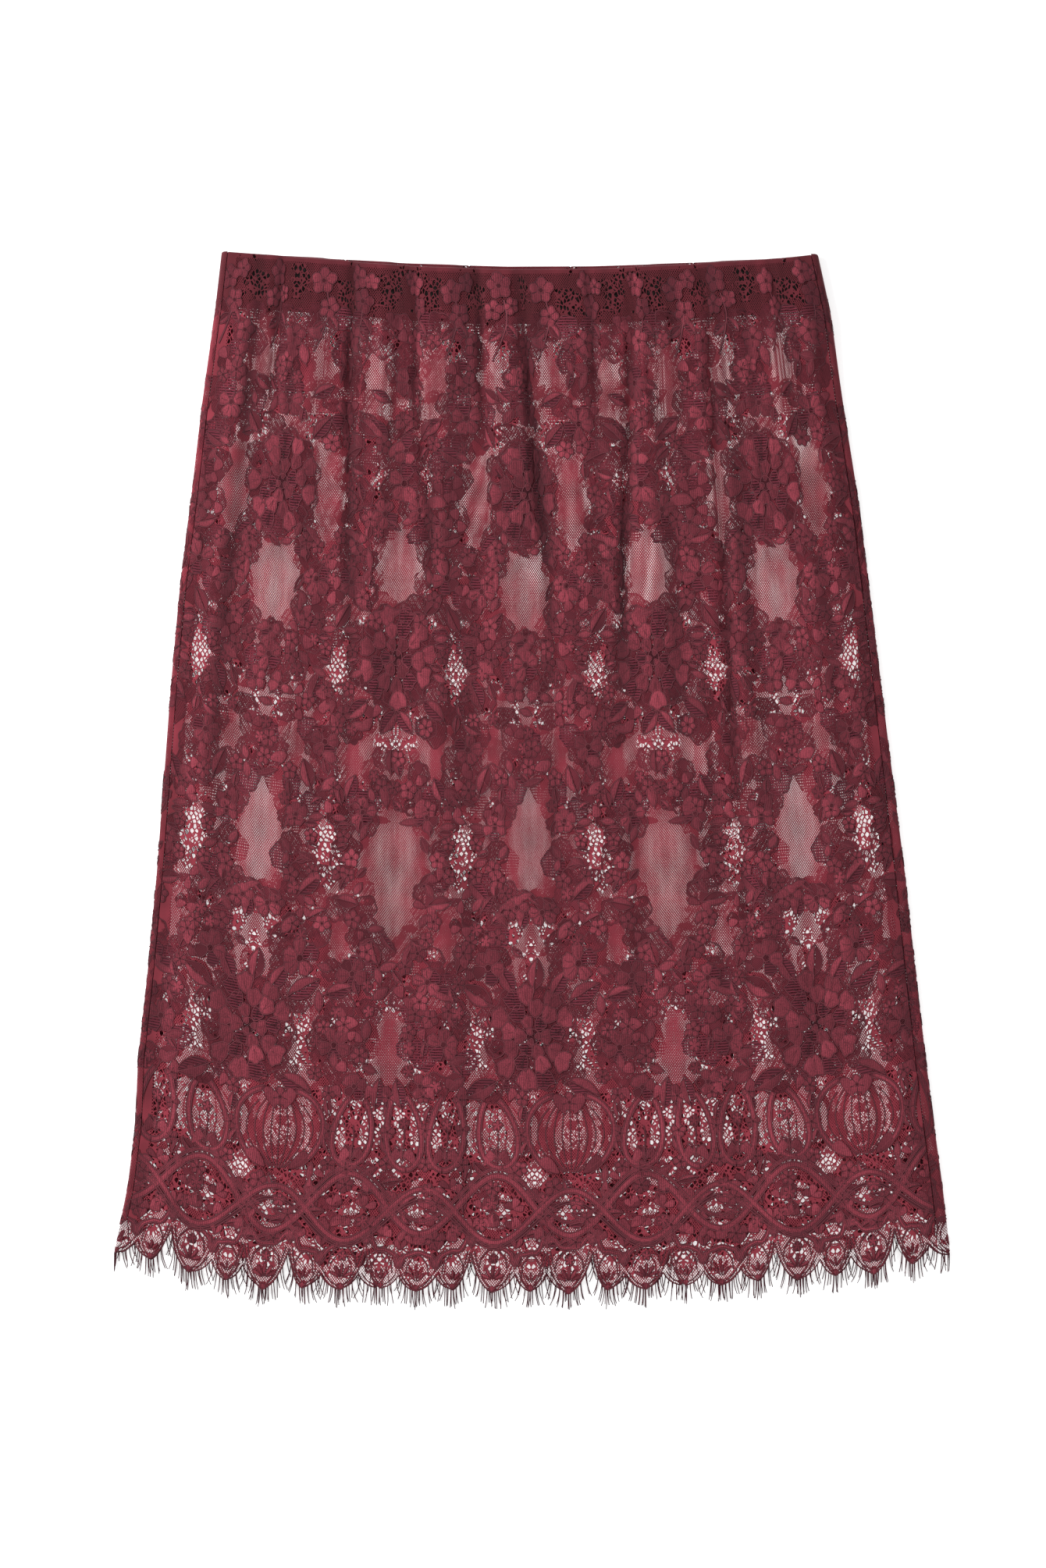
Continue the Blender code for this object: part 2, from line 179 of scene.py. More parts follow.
def drawn_in(x, y, folds, keep, fade):
    """Moves x towards each fold, which takes up more of the cloth than the flat places beside it."""
    left = left_at(y)
    wide = right_at(y) - left
    move = np.zeros_like(x)
    for f_top, f_end, y_end, half, size in folds:
        t = np.clip((330.0 - y) / (330.0 - y_end), 0.0, 1.3)
        centre = left + (f_top + (f_end - f_top) * t) * wide
        reach = 1.7 * half
        d = (x - centre) / reach
        move = move - 0.60 * size * (1.0 - smooth((t - keep) / fade)) * reach * d * np.exp(-d * d)
    return x + move


def seam_left_at(y):
    return left_at(y) + SEAM_LEFT


def seam_right_at(y):
    return right_at(y) - table_at(SEAM_RIGHT_TABLE, y, 1)


def f_of_u(u):
    return (u + 292.0) / CLOTH


def heights(f, v, column):
    """Height on the laid skirt of the cloth's v at the fraction f across it."""
    f = np.clip(f, 0.0, 1.0)
    tip = table_at(TIP_LINE, left_at(-300.0) + f * (right_at(-300.0) - left_at(-300.0)), 1)
    top = table_at(TOP_EDGE, left_at(330.0) + f * (right_at(330.0) - left_at(330.0)), column)
    return tip + v / V_TOP * (top - tip)


def turn(v):
    """Angle of the waist fold at v, and how far the cloth has gone down inside past it."""
    over = np.maximum(v - TURN_V, 0.0)
    angle = np.minimum(over / TURN_R, PI)
    return angle, np.maximum(over - PI * TURN_R, 0.0)


def place_front(u, v, lift=0.0):
    f = f_of_u(u)
    angle, down = turn(v)
    y = heights(f, np.minimum(v, TURN_V), 1) + TURN_R * np.sin(angle) - down
    left, right = left_at(y), right_at(y)
    x = drawn_in(left + f * (right - left), y, FRONT_CREASES, 0.55, 0.55)
    outer = WALL / 2 + 2 * half_height(x, y) + front_swell(x, y) + gathers(x, y, 0.6) * smooth(f / 0.03) * smooth((1 - f) / 0.03)
    inner = WALL / 2 + 2 * CASING_HALF - 2 * TURN_R
    w = (1.0 - np.cos(angle)) / 2
    z = outer * (1 - w) + inner * w + lift * np.cos(angle)
    return np.stack([x, y + lift * np.sin(angle), z], axis=-1)


def place_back(u, v, lift=0.0):
    f = f_of_u(MIRROR - u)
    angle, down = turn(v)
    y = heights(f, np.minimum(v, TURN_V), 2) + TURN_R * np.sin(angle) - down
    left, right = left_at(y), right_at(y)
    x = drawn_in(left + f * (right - left), y, BACK_RIDGES, 0.5, 0.5)
    hl, hr = half_height(left, y), half_height(right, y)
    x0, x1 = left + hl + WALL / 2, right - hr - WALL / 2
    dl, dr = np.maximum(x0 - x, 0.0), np.maximum(x - x1, 0.0)
    tl, tr = np.minimum(dl / hl, PI), np.minimum(dr / hr, PI)
    inside = np.clip(x, x0, x1)
    px = inside - hl * np.sin(tl) + hr * np.sin(tr) + np.maximum(dl - PI * hl, 0.0) - np.maximum(dr - PI * hr, 0.0)
    ripple = back_ridge(inside, y) + 0.45 * (gathers(inside, y, 2.3) + 0.8 * np.interp(y, [90.0, 262.0], [0.0, 1.0]))
    ripple = ripple * smooth((x - x0) / 12.0) * smooth((x1 - x) / 12.0) * (1.0 - smooth(angle))
    pz = WALL / 2 + hl * (1.0 - np.cos(tl)) + hr * (1.0 - np.cos(tr)) + ripple
    ox, oz = np.sin(tr) - np.sin(tl), 1.0 - np.cos(tl) - np.cos(tr)
    w = 2 * TURN_R * (1.0 - np.cos(angle)) / 2
    side = lift * np.cos(angle) - w
    return np.stack([px + ox * side, y + lift * np.sin(angle), pz + oz * side], axis=-1)


def back_reach(y):
    """Fractions of the width between which the back's cloth lies, bends and top strips included."""
    left, right = left_at(y), right_at(y)
    wide = right - left
    hl, hr = half_height(left, y), half_height(right, y)
    x0, x1 = left + hl + WALL / 2, right - hr - WALL / 2
    dl = PI * hl + np.maximum(seam_left_at(y) - 0.2 - x0, 0.2)
    dr = PI * hr + np.maximum(x1 - seam_right_at(y) - 0.2, 0.2)
    return (x0 - dl - left) / wide, (x1 + dr - left) / wide


def front_reach(y):
    left, right = left_at(y), right_at(y)
    return (seam_left_at(y) + 0.25 - left) / (right - left), (seam_right_at(y) - 0.25 - left) / (right - left)


def scallop_marks():
    marks = []
    at = -SCALLOPS[0][0] / 2.0
    before = SCALLOPS[-1][2]
    for width, tip, after in SCALLOPS:
        marks.append((at, at + width, tip, before, after))
        at += width
        before = after
    return marks


MARKS = scallop_marks()


def edge_table():
    us, hs = [], []
    for start, end, tip, before, after in MARKS:
        middle = (start + end) / 2.0
        for i in range(16):
            u = start + (end - start) * i / 16.0
            s = abs(u - middle) / (middle - start)
            valley = before if u < middle else after
            us.append(u)
            hs.append(tip + (valley - tip) * (0.35 * s + 0.65 * s ** 3))
    return np.array(us), np.array(hs)


EDGE_U, EDGE_H = edge_table()


def edge_height(u):
    u = (np.asarray(u, dtype=float) - EDGE_U[0]) % REPEAT + EDGE_U[0]
    return np.interp(u, np.append(EDGE_U, EDGE_U[0] + REPEAT), np.append(EDGE_H, EDGE_H[0]))


# ------------------------------------------------------------------ shapes of the lace, in cloth millimetres
# w is measured across from the middle of the big roses, which is u + 24.3, and v up from the tips.
SOLID, HALF, LADDER, CORD = 0, 1, 2, 3
A_AXIS = 24.3                      # w of the middle of a widest scallop
E_AXIS = 24.3 - REPEAT / 2         # w of the middle of the narrowest
rng = np.random.default_rng(11)
shapes = []                        # closed outlines: points, kind, lift, relief, tone
cords = []                         # open or closed lines: points, width, lift, closed, tone

NET_ONLY = (
    # w,    v,     half width, half length, pointedness of a place left as plain net
    (0.0, 450.0, 21.5, 30.0, 1.5), (0.0, 293.0, 17.5, 41.0, 1.4), (97.25, 466.0, 22.5, 30.0, 1.5),
    (97.25, 268.0, 23.5, 45.0, 1.4), (38, 511.0, 11.2, 27.8, 1.4), (-38, 511.0, 11.2, 27.8, 1.4),
    (11, 115.0, 8.6, 15.1, 1.4), (-11, 115.0, 8.6, 15.1, 1.4), (97.25, 152.0, 9.2, 27.8, 1.3),
    (24, 352.0, 7.3, 15.1, 1.4), (-24, 352.0, 7.3, 15.1, 1.4), (66, 340.0, 7.9, 18.6, 1.4),
    (-66, 340.0, 7.9, 18.6, 1.4), (60, 226.0, 7.3, 17.4, 1.4), (-60, 226.0, 7.3, 17.4, 1.4),
    (22, 588.0, 7.9, 23.2, 1.3), (-26, 596.0, 7.9, 25.5, 1.3), (70, 580.0, 9.2, 25.5, 1.3),
    (-72, 584.0, 8.6, 23.2, 1.3), 
)
OPEN_NET = (
    # the same for places of open net with large holes
    (53.2, 403.0, 8.2, 24.0, 1.4), (-53.2, 401.0, 8.6, 22.0, 1.4), (48.6, 284.0, 9.0, 22.0, 1.4),
    (-48.6, 282.0, 9.4, 20.0, 1.4), (38.5, 163.0, 5.2, 20.5, 1.4), (-38.5, 163.0, 5.2, 20.5, 1.4),
    (97.25, 363.0, 5.6, 16.2, 1.1), (86, 352.0, 4.5, 6.5, 1.4), (-86, 352.0, 4.5, 6.5, 1.4),
    (97.25, 180.0, 7.3, 9.7, 1.5), (12, 232.0, 4.5, 8.6, 1.3), (-12, 232.0, 4.5, 8.6, 1.3),
    (0, 222.0, 3.9, 8.6, 1.1), (20, 552.0, 4.5, 9.7, 1.3), (-20, 552.0, 4.5, 9.7, 1.3),
    (78, 520.0, 4.5, 13.0, 1.3), (-78, 520.0, 4.5, 13.0, 1.3), (8, 372.0, 3.9, 8.6, 1.2),
    (-8, 372.0, 3.9, 8.6, 1.2), (30, 604.0, 5.0, 9.7, 1.3), (-14, 606.0, 5.0, 9.7, 1.3),
    (84, 606.0, 5.6, 8.6, 1.3), (-58, 606.0, 5.0, 9.7, 1.3), (76, 428.0, 3.9, 8.6, 1.3),
    (-76, 428.0, 3.9, 8.6, 1.3), (-78.0, 643.0, 7.5, 8.0, 2.0), (-38.0, 640.0, 8.0, 9.0, 2.0),
    (2.0, 645.0, 7.0, 8.5, 2.0), (39.0, 638.0, 8.0, 8.0, 2.0), (80.0, 644.0, 7.0, 9.0, 2.0),
)


def wrap(w):
    return (np.asarray(w, dtype=float) + REPEAT / 2) % REPEAT - REPEAT / 2


def inside(w, v, places):
    """Below 1 inside the nearest of the places, 1 on its edge, and above 1 outside it."""
    best = np.full(np.broadcast(w, v).shape, 9.0)
    for cw, cv, rw, rv, power in places:
        d = (np.abs(wrap(w - cw) / rw) ** power + np.abs((v - cv) / rv) ** power) ** (1.0 / power)
        best = np.minimum(best, d)
    return best


def clear(w, v, r):
    """True where a motif of radius r at w, v keeps out of the places of bare net."""
    for turn_at in range(8):
        a = turn_at * PI / 4
        if float(inside(np.array(w + r * math.cos(a)), np.array(v + r * math.sin(a)), NET_ONLY + OPEN_NET)) < 0.94:
            return False
    return float(inside(np.array(w), np.array(v), NET_ONLY + OPEN_NET)) > 1.0


def moved(outline, w, v, angle=0.0, flip=False):
    p = np.array(outline, dtype=float)
    if flip:
        p = p * [1.0, -1.0]
    c, s = math.cos(angle), math.sin(angle)
    return np.stack([w + p[:, 0] * c - p[:, 1] * s, v + p[:, 0] * s + p[:, 1] * c], axis=1)


def add(points, kind=SOLID, lift=0.2, relief=0.22, tone=1.0):
    shapes.append((np.asarray(points, dtype=float), kind, lift, relief, tone))


def line(points, width=0.55, lift=0.35, closed=False, tone=1.0):
    cords.append((np.asarray(points, dtype=float), 0.15 + 1.25 * width, lift, closed, tone))


def petal(length, width, n=16, fat=0.5, wavy=0.0, turns=3, notch=0.0):
    """A petal from its base at 0, 0 along the first axis; fat moves its widest place to the tip."""
    t = np.linspace(0.0, 2 * PI, n, endpoint=False)
    x = length * (0.5 - 0.5 * np.cos(t))
    y = width / 2 * np.sin(t) * ((1 - fat) + 2 * fat * x / length)
    grow = 1.0 + wavy * np.sin(turns * t + 0.7)
    x = x * grow - notch * length * np.exp(-((t - PI) / 0.45) ** 2)
    return np.stack([x, y * grow], axis=1)


def almond(length, width, n=16, teeth=0.0):
    t = np.linspace(0.0, 1.0, n // 2 + 1)
    half = width / 2 * np.sin(PI * t) ** 0.85 * (1.15 - 0.3 * t)
    half = half * (1 + teeth * np.where(np.arange(len(t)) % 2 == 1, 1.0, -1.0))
    up = np.stack([length * t, half], axis=1)
    low = np.stack([length * t[::-1], -half[::-1]], axis=1)
    return np.vstack([up, low[1:-1]])


def oval(rw, rv, n=14, lobes=0, depth=0.0, phase=0.0):
    t = np.linspace(0.0, 2 * PI, n, endpoint=False)
    r = 1.0 + (depth * np.abs(np.sin(lobes * t / 2 + phase)) if lobes else 0.0)
    return np.stack([rw * r * np.cos(t), rv * r * np.sin(t)], axis=1)


def ribbon(path, width):
    """The outline of a strip of even or varying width about a path."""
    p = np.asarray(path, dtype=float)
    d = np.gradient(p, axis=0)
    d /= np.maximum(np.linalg.norm(d, axis=1)[:, None], 1e-9)
    side = np.stack([-d[:, 1], d[:, 0]], axis=1) * (np.asarray(width, dtype=float).reshape(-1, 1) / 2)
    return np.vstack([p + side, (p - side)[::-1]])


def tone():
    return float(rng.uniform(0.52, 1.02))


def eyelet_flower(w, v, r, n=5, turn_by=0.0, lift=0.28, outlined=True):
    """A small flower: one lobed piece with a cord round it, dark lines of painted shade in the creases between the
    petals, and a ring in the middle.
    """
    level = tone()
    around = np.linspace(0.0, 2 * PI, 5 * n, endpoint=False)
    lobed = r * (0.60 + 0.42 * np.abs(np.cos(n * around / 2)) ** 0.7) * (1.0 + 0.07 * np.sin(2 * around + w))
    outline = moved(np.stack([lobed * np.cos(around), lobed * np.sin(around)], axis=1), w, v, turn_by)
    add(outline, SOLID, lift, 0.24, level)
    line(outline, 0.45, lift + 0.22, True, 0.95)
    for i in range(n):
        a = turn_by + 2 * PI * (i + 0.5) / n
        c, s = math.cos(a), math.sin(a)
        # dark cords at tone 0.25: painted shade in the creases between the petals
        line([(w + 0.34 * r * c, v + 0.34 * r * s), (w + 0.80 * r * c, v + 0.80 * r * s)], 0.35, lift + 0.42, False, 0.25)
    if r > 4.5:
        line(moved(oval(r * 0.26, r * 0.26, 8), w, v), 0.5, lift + 0.42, True, 0.95)
        add(moved(oval(r * 0.17, r * 0.17, 6), w, v), HALF, lift + 0.36, 0.05, 0.15)


def leaf(w, v, angle, length, width, lift=0.22, split=True, outlined=True):
    """A leaf with a rib: one half closed cloth, the other bars or half stitch."""
    outline = almond(length, width, 16)
    if split:
        n = len(outline) // 2
        rib = np.stack([np.linspace(length * 0.97, 0.03 * length, 5), np.zeros(5) - 0.15], axis=1)
        upper = np.vstack([outline[: n + 1], rib])
        lower = np.vstack([outline[n:], outline[:1], (rib * [1.0, 1.0] - [0.0, 0.25])[::-1]])
        add(moved(upper, w, v, angle), SOLID, lift, 0.24, tone())
        add(moved(lower, w, v, angle), LADDER if rng.random() < 0.5 else HALF, lift - 0.08, 0.05, tone())
    else:
        add(moved(outline, w, v, angle), SOLID, lift, 0.28, tone())
    if outlined:
        line(moved(np.stack([np.linspace(-0.1 * length, length * 0.96, 6), 0.04 * length * np.sin(np.linspace(0, 3, 6))], axis=1), w, v, angle), 0.5, lift + 0.3)
        line(moved(outline, w, v, angle), 0.5, lift + 0.22, True)


def cloud(w, v, rw, rv, lobes=7, angle=0.0, kind=HALF, lift=0.06, outlined=True, shade=None):
    outline = moved(oval(rw, rv, lobes * 4, lobes, 0.20, rng.uniform(0, 2)), w, v, angle)
    add(outline, kind, lift, 0.04, float(rng.uniform(0.75, 1.1)) if shade is None else shade)
    if outlined:
        line(outline, 0.5, lift + 0.16, True, 0.92)


def rose(w, v, rw, rv, turn_by):
    """A full rose: three rings of ruffled petals, some barred, closing on a dark rolled middle."""
    # half-stitch under the whole rose at tone 0.6: partly the lace's own half-stitch, partly painted shadow under the
    # petals
    cloud(w, v, rw * 0.94, rv * 0.94, 11, 0.0, HALF, 0.08, True, 0.6)
    squash = np.array([rw, rv]) / max(rw, rv)
    size = max(rw, rv)

    def piece(outline, kind, lift, relief, shade, cord_lift=0.25):
        p = outline * squash + [w, v]
        add(p, kind, lift, relief, shade)
        line(p, 0.55, lift + cord_lift, True)

    def ring(count, foot, length, width, lift, low, high, kinds, start):
        for i in range(count):
            a = start + 2 * PI * i / count + rng.uniform(-0.13, 0.13)
            long = size * length * rng.uniform(0.9, 1.12)
            outline = moved(petal(long, size * width * rng.uniform(0.85, 1.15), 22, 0.36, 0.08, 6, 0.03), foot * size * math.cos(a), foot * size * math.sin(a), a)
            height = lift + 0.08 * (i % 3)
            piece(outline, kinds[i % len(kinds)], height, 0.28, rng.uniform(low, high))
            for lean in (-0.35, 0.1, 0.4):
                vein = moved([(0.2 * long, 0.0), (0.5 * long, 0.20 * long * lean), (0.82 * long, 0.42 * long * lean)], foot * size * math.cos(a), foot * size * math.sin(a), a)
                line(vein * squash + [w, v], 0.3, height + 0.34, False, 0.35)

    ring(11, 0.62, 0.40, 0.40, 0.14, 0.66, 0.98, (SOLID, SOLID, LADDER, SOLID, HALF), turn_by)
    ring(9, 0.38, 0.34, 0.34, 0.30, 0.58, 0.95, (SOLID, LADDER, SOLID), turn_by + 0.4)
    ring(6, 0.15, 0.28, 0.28, 0.44, 0.50, 0.85, (SOLID, SOLID, LADDER), turn_by + 0.9)
    piece(oval(size * 0.14, size * 0.15, 12, 5, 0.06), HALF, 0.64, 0.1, 0.2)
    for i in range(3):
        a = turn_by + 1.1 + 2 * PI * i / 3
        piece(moved(petal(size * 0.16, size * 0.13, 12, 0.3, 0.04), 0.04 * size * math.cos(a), 0.04 * size * math.sin(a), a), SOLID, 0.70, 0.2, rng.uniform(0.5, 0.75))


def blossom(w, v, r, turn_by=0.0, n=5, lift=0.2):
    """A middle-sized open flower of notched petals, some barred, with a ring in the middle."""
    level = 0.60 + 0.36 * float(rng.random())
    for i in range(n):
        a = turn_by + 2 * PI * i / n + rng.uniform(-0.16, 0.16)
        size = r * rng.uniform(0.78, 1.0)
        wide = r * rng.uniform(0.62, 0.84)
        outline = moved(petal(size, wide, 20, 0.38, 0.07, 6, 0.05), w + 0.14 * r * math.cos(a), v + 0.14 * r * math.sin(a), a)
        kind = LADDER if (i + int(w)) % 5 == 3 else (HALF if (i + int(v)) % 7 == 2 else SOLID)
        add(outline, kind, lift + 0.08 * (i % 3), 0.28, level * rng.uniform(0.78, 1.15))
        line(outline, 0.5, lift + 0.08 * (i % 3) + 0.22, True)
        if kind == SOLID and r > 9.0:
            reach = moved([(0.22 * size, 0.0), (0.5 * size, 0.05 * size), (0.78 * size, 0.0)], w + 0.14 * r * math.cos(a), v + 0.14 * r * math.sin(a), a)
            line(reach, 0.45, lift + 0.08 * (i % 3) + 0.42, False, 0.5)
    add(moved(oval(r * 0.20, r * 0.20, 10), w, v), HALF, lift + 0.36, 0.1, 0.35)
    line(moved(oval(r * 0.20, r * 0.20, 10), w, v), 0.6, lift + 0.52, True)


def stem(points, width=0.9, lift=0.18):
    p = np.array(points, dtype=float)
    t = np.linspace(0, 1, len(p))
    fine = np.linspace(0, 1, 5 * len(p))
    path = np.stack([np.interp(fine, t, p[:, 0]), np.interp(fine, t, p[:, 1])], axis=1)
    for _ in range(4):
        path[1:-1] = (path[:-2] + path[2:] + 2 * path[1:-1]) / 4
    line(path, width, lift + 0.2)
    return path


# ------------------------------------------------------------------ one repeat of the lace
def main_flowers():
    rose(0.0, 516.0, 27.0, 32.0, 0.4)
    rose(1.0, 166.0, 30.0, 33.0, 1.1)
    rose(97.25, 408.0, 28.0, 33.0, 0.1)
    for w, v, r, a in (
        # w,    v,    radius, turned by
        (97.25, 520.0, 12.0, 0.3), (84.0, 500.0, 9.5, 0.9), (110.0, 503.0, 10.0, 1.4), (97.0, 541.0, 9.0, 0.2),
        (0.0, 405.0, 10.5, 1.6), (-9.0, 389.0, 8.0, 0.4), (10.0, 387.0, 8.5, 0.8), (0.0, 421.0, 7.5, 0.2),
        (33.0, 456.0, 11.0, 0.5), (-33.0, 452.0, 10.0, 1.0), (61.0, 455.0, 10.5, 0.1), (-60.0, 460.0, 11.0, 0.7),
        (33.0, 213.0, 12.5, 0.3), (-30.0, 210.0, 12.0, 1.2), (8.0, 246.0, 9.5, 0.6), (-10.0, 249.0, 8.5, 0.2),
        (70.0, 204.0, 10.5, 0.9), (-72.0, 200.0, 10.0, 0.5), (74.0, 308.0, 9.5, 0.2), (-74.0, 306.0, 9.0, 1.0),
        (25.5, 305.0, 8.5, 0.3), (-25.0, 300.0, 8.0, 0.9), (45.0, 352.0, 11.0, 1.4), (-44.0, 350.0, 10.5, 0.1),
        (60.0, 158.0, 11.0, 0.8), (-60.0, 160.0, 10.5, 0.3), (74.0, 132.0, 8.5, 0.1), (-76.0, 133.0, 8.5, 0.7),
        (2.0, 568.0, 10.0, 0.4), (46.0, 560.0, 11.0, 1.0), (-48.0, 563.0, 10.5, 0.5), (97.0, 585.0, 11.0, 0.0),
        (64.0, 480.0, 7.5, 0.5), (-64.0, 494.0, 8.5, 0.2), (20.0, 476.0, 7.0, 0.2), (-22.0, 477.0, 7.5, 0.6),
    ):
        blossom(w, v, r, a)
    for w, v, r, a in (
        # small flowers of the strip under the waist fold
        (-92.0, 648.0, 8.5, 0.2), (-87.0, 633.0, 6.5, 0.8), (-62.0, 644.0, 8.0, 0.4), (-56.0, 629.0, 7.5, 0.9),
        (-51.0, 650.0, 6.0, 0.1), (-20.0, 649.0, 8.5, 0.5), (-24.0, 633.0, 7.0, 0.2), (-12.0, 636.0, 5.5, 0.7),
        (20.0, 646.0, 9.0, 0.3), (25.0, 629.0, 7.0, 0.0), (55.0, 650.0, 8.0, 0.6), (60.0, 635.0, 8.0, 0.1),
        (66.0, 648.0, 5.5, 0.3), (96.0, 652.0, 5.5, 0.4),
        (2.0, 610.0, 7.5, 0.2), (52.0, 612.0, 8.0, 0.6), (-44.0, 610.0, 7.5, 0.1), (-92.0, 612.0, 8.0, 0.5),
    ):
        eyelet_flower(w, v, r, 5, a)
    for w in (-92.0, -62.0, -20.0, 20.0, 55.0):
        stem([(w + 3.0, 640.0), (w + 5.5, 626.0), (w + 2.0, 612.0), (w - 3.0, 600.0)], 1.0)
        leaf(w + 5.0, 624.0, -0.9, 12.0, 6.0, 0.24)
        leaf(w + 3.0, 620.0, 3.8, 12.0, 6.0, 0.24)


def flower_chains():
    """Chains of small flowers and leaves that frame the places of bare net."""
    for cw, cv, rw, rv, _power in NET_ONLY[:4]:
        for side in (-1.0, 1.0):
            for i, t in enumerate(np.linspace(-0.92, 0.92, 8)):
                w = cw + side * ((rw + 6.5) * math.cos(t * 1.15) ** 0.8 + 1.0)
                v = cv + (rv + 5.0) * math.sin(t * PI / 2)
                if i % 2 == 0:
                    eyelet_flower(w, v, 5.6 + 0.8 * math.sin(3.1 * i + cw), 5, 0.7 * i)
                else:
                    leaf(w - side * 2.5, v - 3.0, PI / 2 + side * (0.5 - 0.9 * t), 10.0, 5.0, 0.2, i % 4 == 1)
    for cw, cv, rw, rv, _power in NET_ONLY[:4]:
        for i in range(8):
            a = 2 * PI * i / 8 + 0.5 + 0.01 * cv
            w, v = cw + (rw + 3.0) * math.cos(a), cv + (rv + 3.0) * math.sin(a)
            leaf(w, v, math.atan2(cv - v, cw - w) + (-1.0 if i % 2 else 0.7), 9.0 + 3.0 * (i % 3), 4.6, 0.22, i % 2 == 0)
    for cw, cv, rw, rv, _power in OPEN_NET[:4]:
        for side in (-1.0, 1.0):
            path = [(cw + side * (rw + 0.5 + 2.2 * math.sin(2.3 * i + cv)) * math.cos(a) ** 0.9, cv + (rv + 2.0) * math.sin(a)) for i, a in enumerate(np.linspace(-1.35, 1.35, 9))]
            for i in range(1, 8):
                w, v = path[i]
                if i in (2, 5):
                    eyelet_flower(w + side * 2.5, v, 4.6, 5, 0.3 * i, 0.26)
                else:
                    leaf(w - side * 1.0, v, PI / 2 - side * (0.75 + 0.13 * i), 9.0 + 2.0 * (i % 2), 4.6, 0.2, i % 2 == 0)


def leaves():
    for w, v, angle, length, width in (
        # w,    v,    angle, length, width
        (26.0, 188.0, 0.5, 25.0, 13.0), (-27.0, 186.0, 2.6, 24.0, 12.0), (24.0, 138.0, -0.5, 24.0, 12.0),
        (-24.0, 137.0, 3.6, 25.0, 12.0), (2.0, 196.0, 1.45, 21.0, 11.0), (14.0, 192.0, 1.0, 20.0, 10.0),
        (-12.0, 194.0, 2.1, 20.0, 10.0), (22.0, 545.0, 0.9, 19.0, 9.0), (-22.0, 545.0, 2.2, 18.0, 9.0),
        (20.0, 489.0, -0.8, 17.0, 9.0), (-21.0, 488.0, 3.9, 18.0, 9.0), (118.0, 436.0, 0.8, 19.0, 9.0),
        (76.0, 437.0, 2.3, 19.0, 9.0), (118.0, 381.0, -0.7, 20.0, 10.0), (76.0, 380.0, 3.8, 20.0, 10.0),
        (97.0, 374.0, -2.2, 19.0, 9.0), (98.0, 374.0, -0.9, 19.0, 9.0), (84.0, 548.0, 2.4, 18.0, 8.5),
        (110.0, 548.0, 0.8, 18.0, 8.5), (33.0, 378.0, 1.2, 22.0, 11.0), (-33.0, 377.0, 2.0, 22.0, 11.0),
        (36.0, 322.0, 1.9, 20.0, 10.0), (-36.0, 321.0, 1.2, 20.0, 10.0), (62.0, 316.0, 1.2, 17.0, 9.0),
        (-62.0, 316.0, 2.0, 17.0, 9.0), (30.0, 254.0, 0.7, 20.0, 10.0), (-30.0, 253.0, 2.4, 20.0, 10.0),
        (56.0, 252.0, -0.2, 17.0, 8.5), (-56.0, 252.0, 3.3, 17.0, 8.5), (52.0, 190.0, 0.3, 20.0, 9.5),
        (-52.0, 190.0, 2.8, 20.0, 9.5), (88.0, 210.0, 1.9, 17.0, 8.0), (106.0, 210.0, 1.2, 17.0, 8.0),
        (88.0, 118.0, 1.4, 20.0, 9.0), (106.0, 118.0, 1.75, 20.0, 9.0), (50.0, 425.0, 1.0, 19.0, 9.0),
        (-50.0, 425.0, 2.1, 19.0, 9.0), (28.0, 425.0, 2.2, 17.0, 8.0), (-28.0, 425.0, 0.9, 17.0, 8.0),
        (50.0, 487.0, -0.3, 18.0, 9.0), (-50.0, 487.0, 3.4, 18.0, 9.0), (50.0, 535.0, 0.4, 18.0, 9.0),
        (-50.0, 535.0, 2.7, 18.0, 9.0), (20.0, 572.0, 0.5, 16.0, 8.0), (-18.0, 574.0, 2.6, 16.0, 8.0),
        (64.0, 560.0, -0.7, 17.0, 8.5), (-66.0, 562.0, 3.8, 17.0, 8.5), (84.0, 572.0, 2.7, 15.0, 7.0),
    ):
        leaf(w, v, angle, length, width, 0.24)


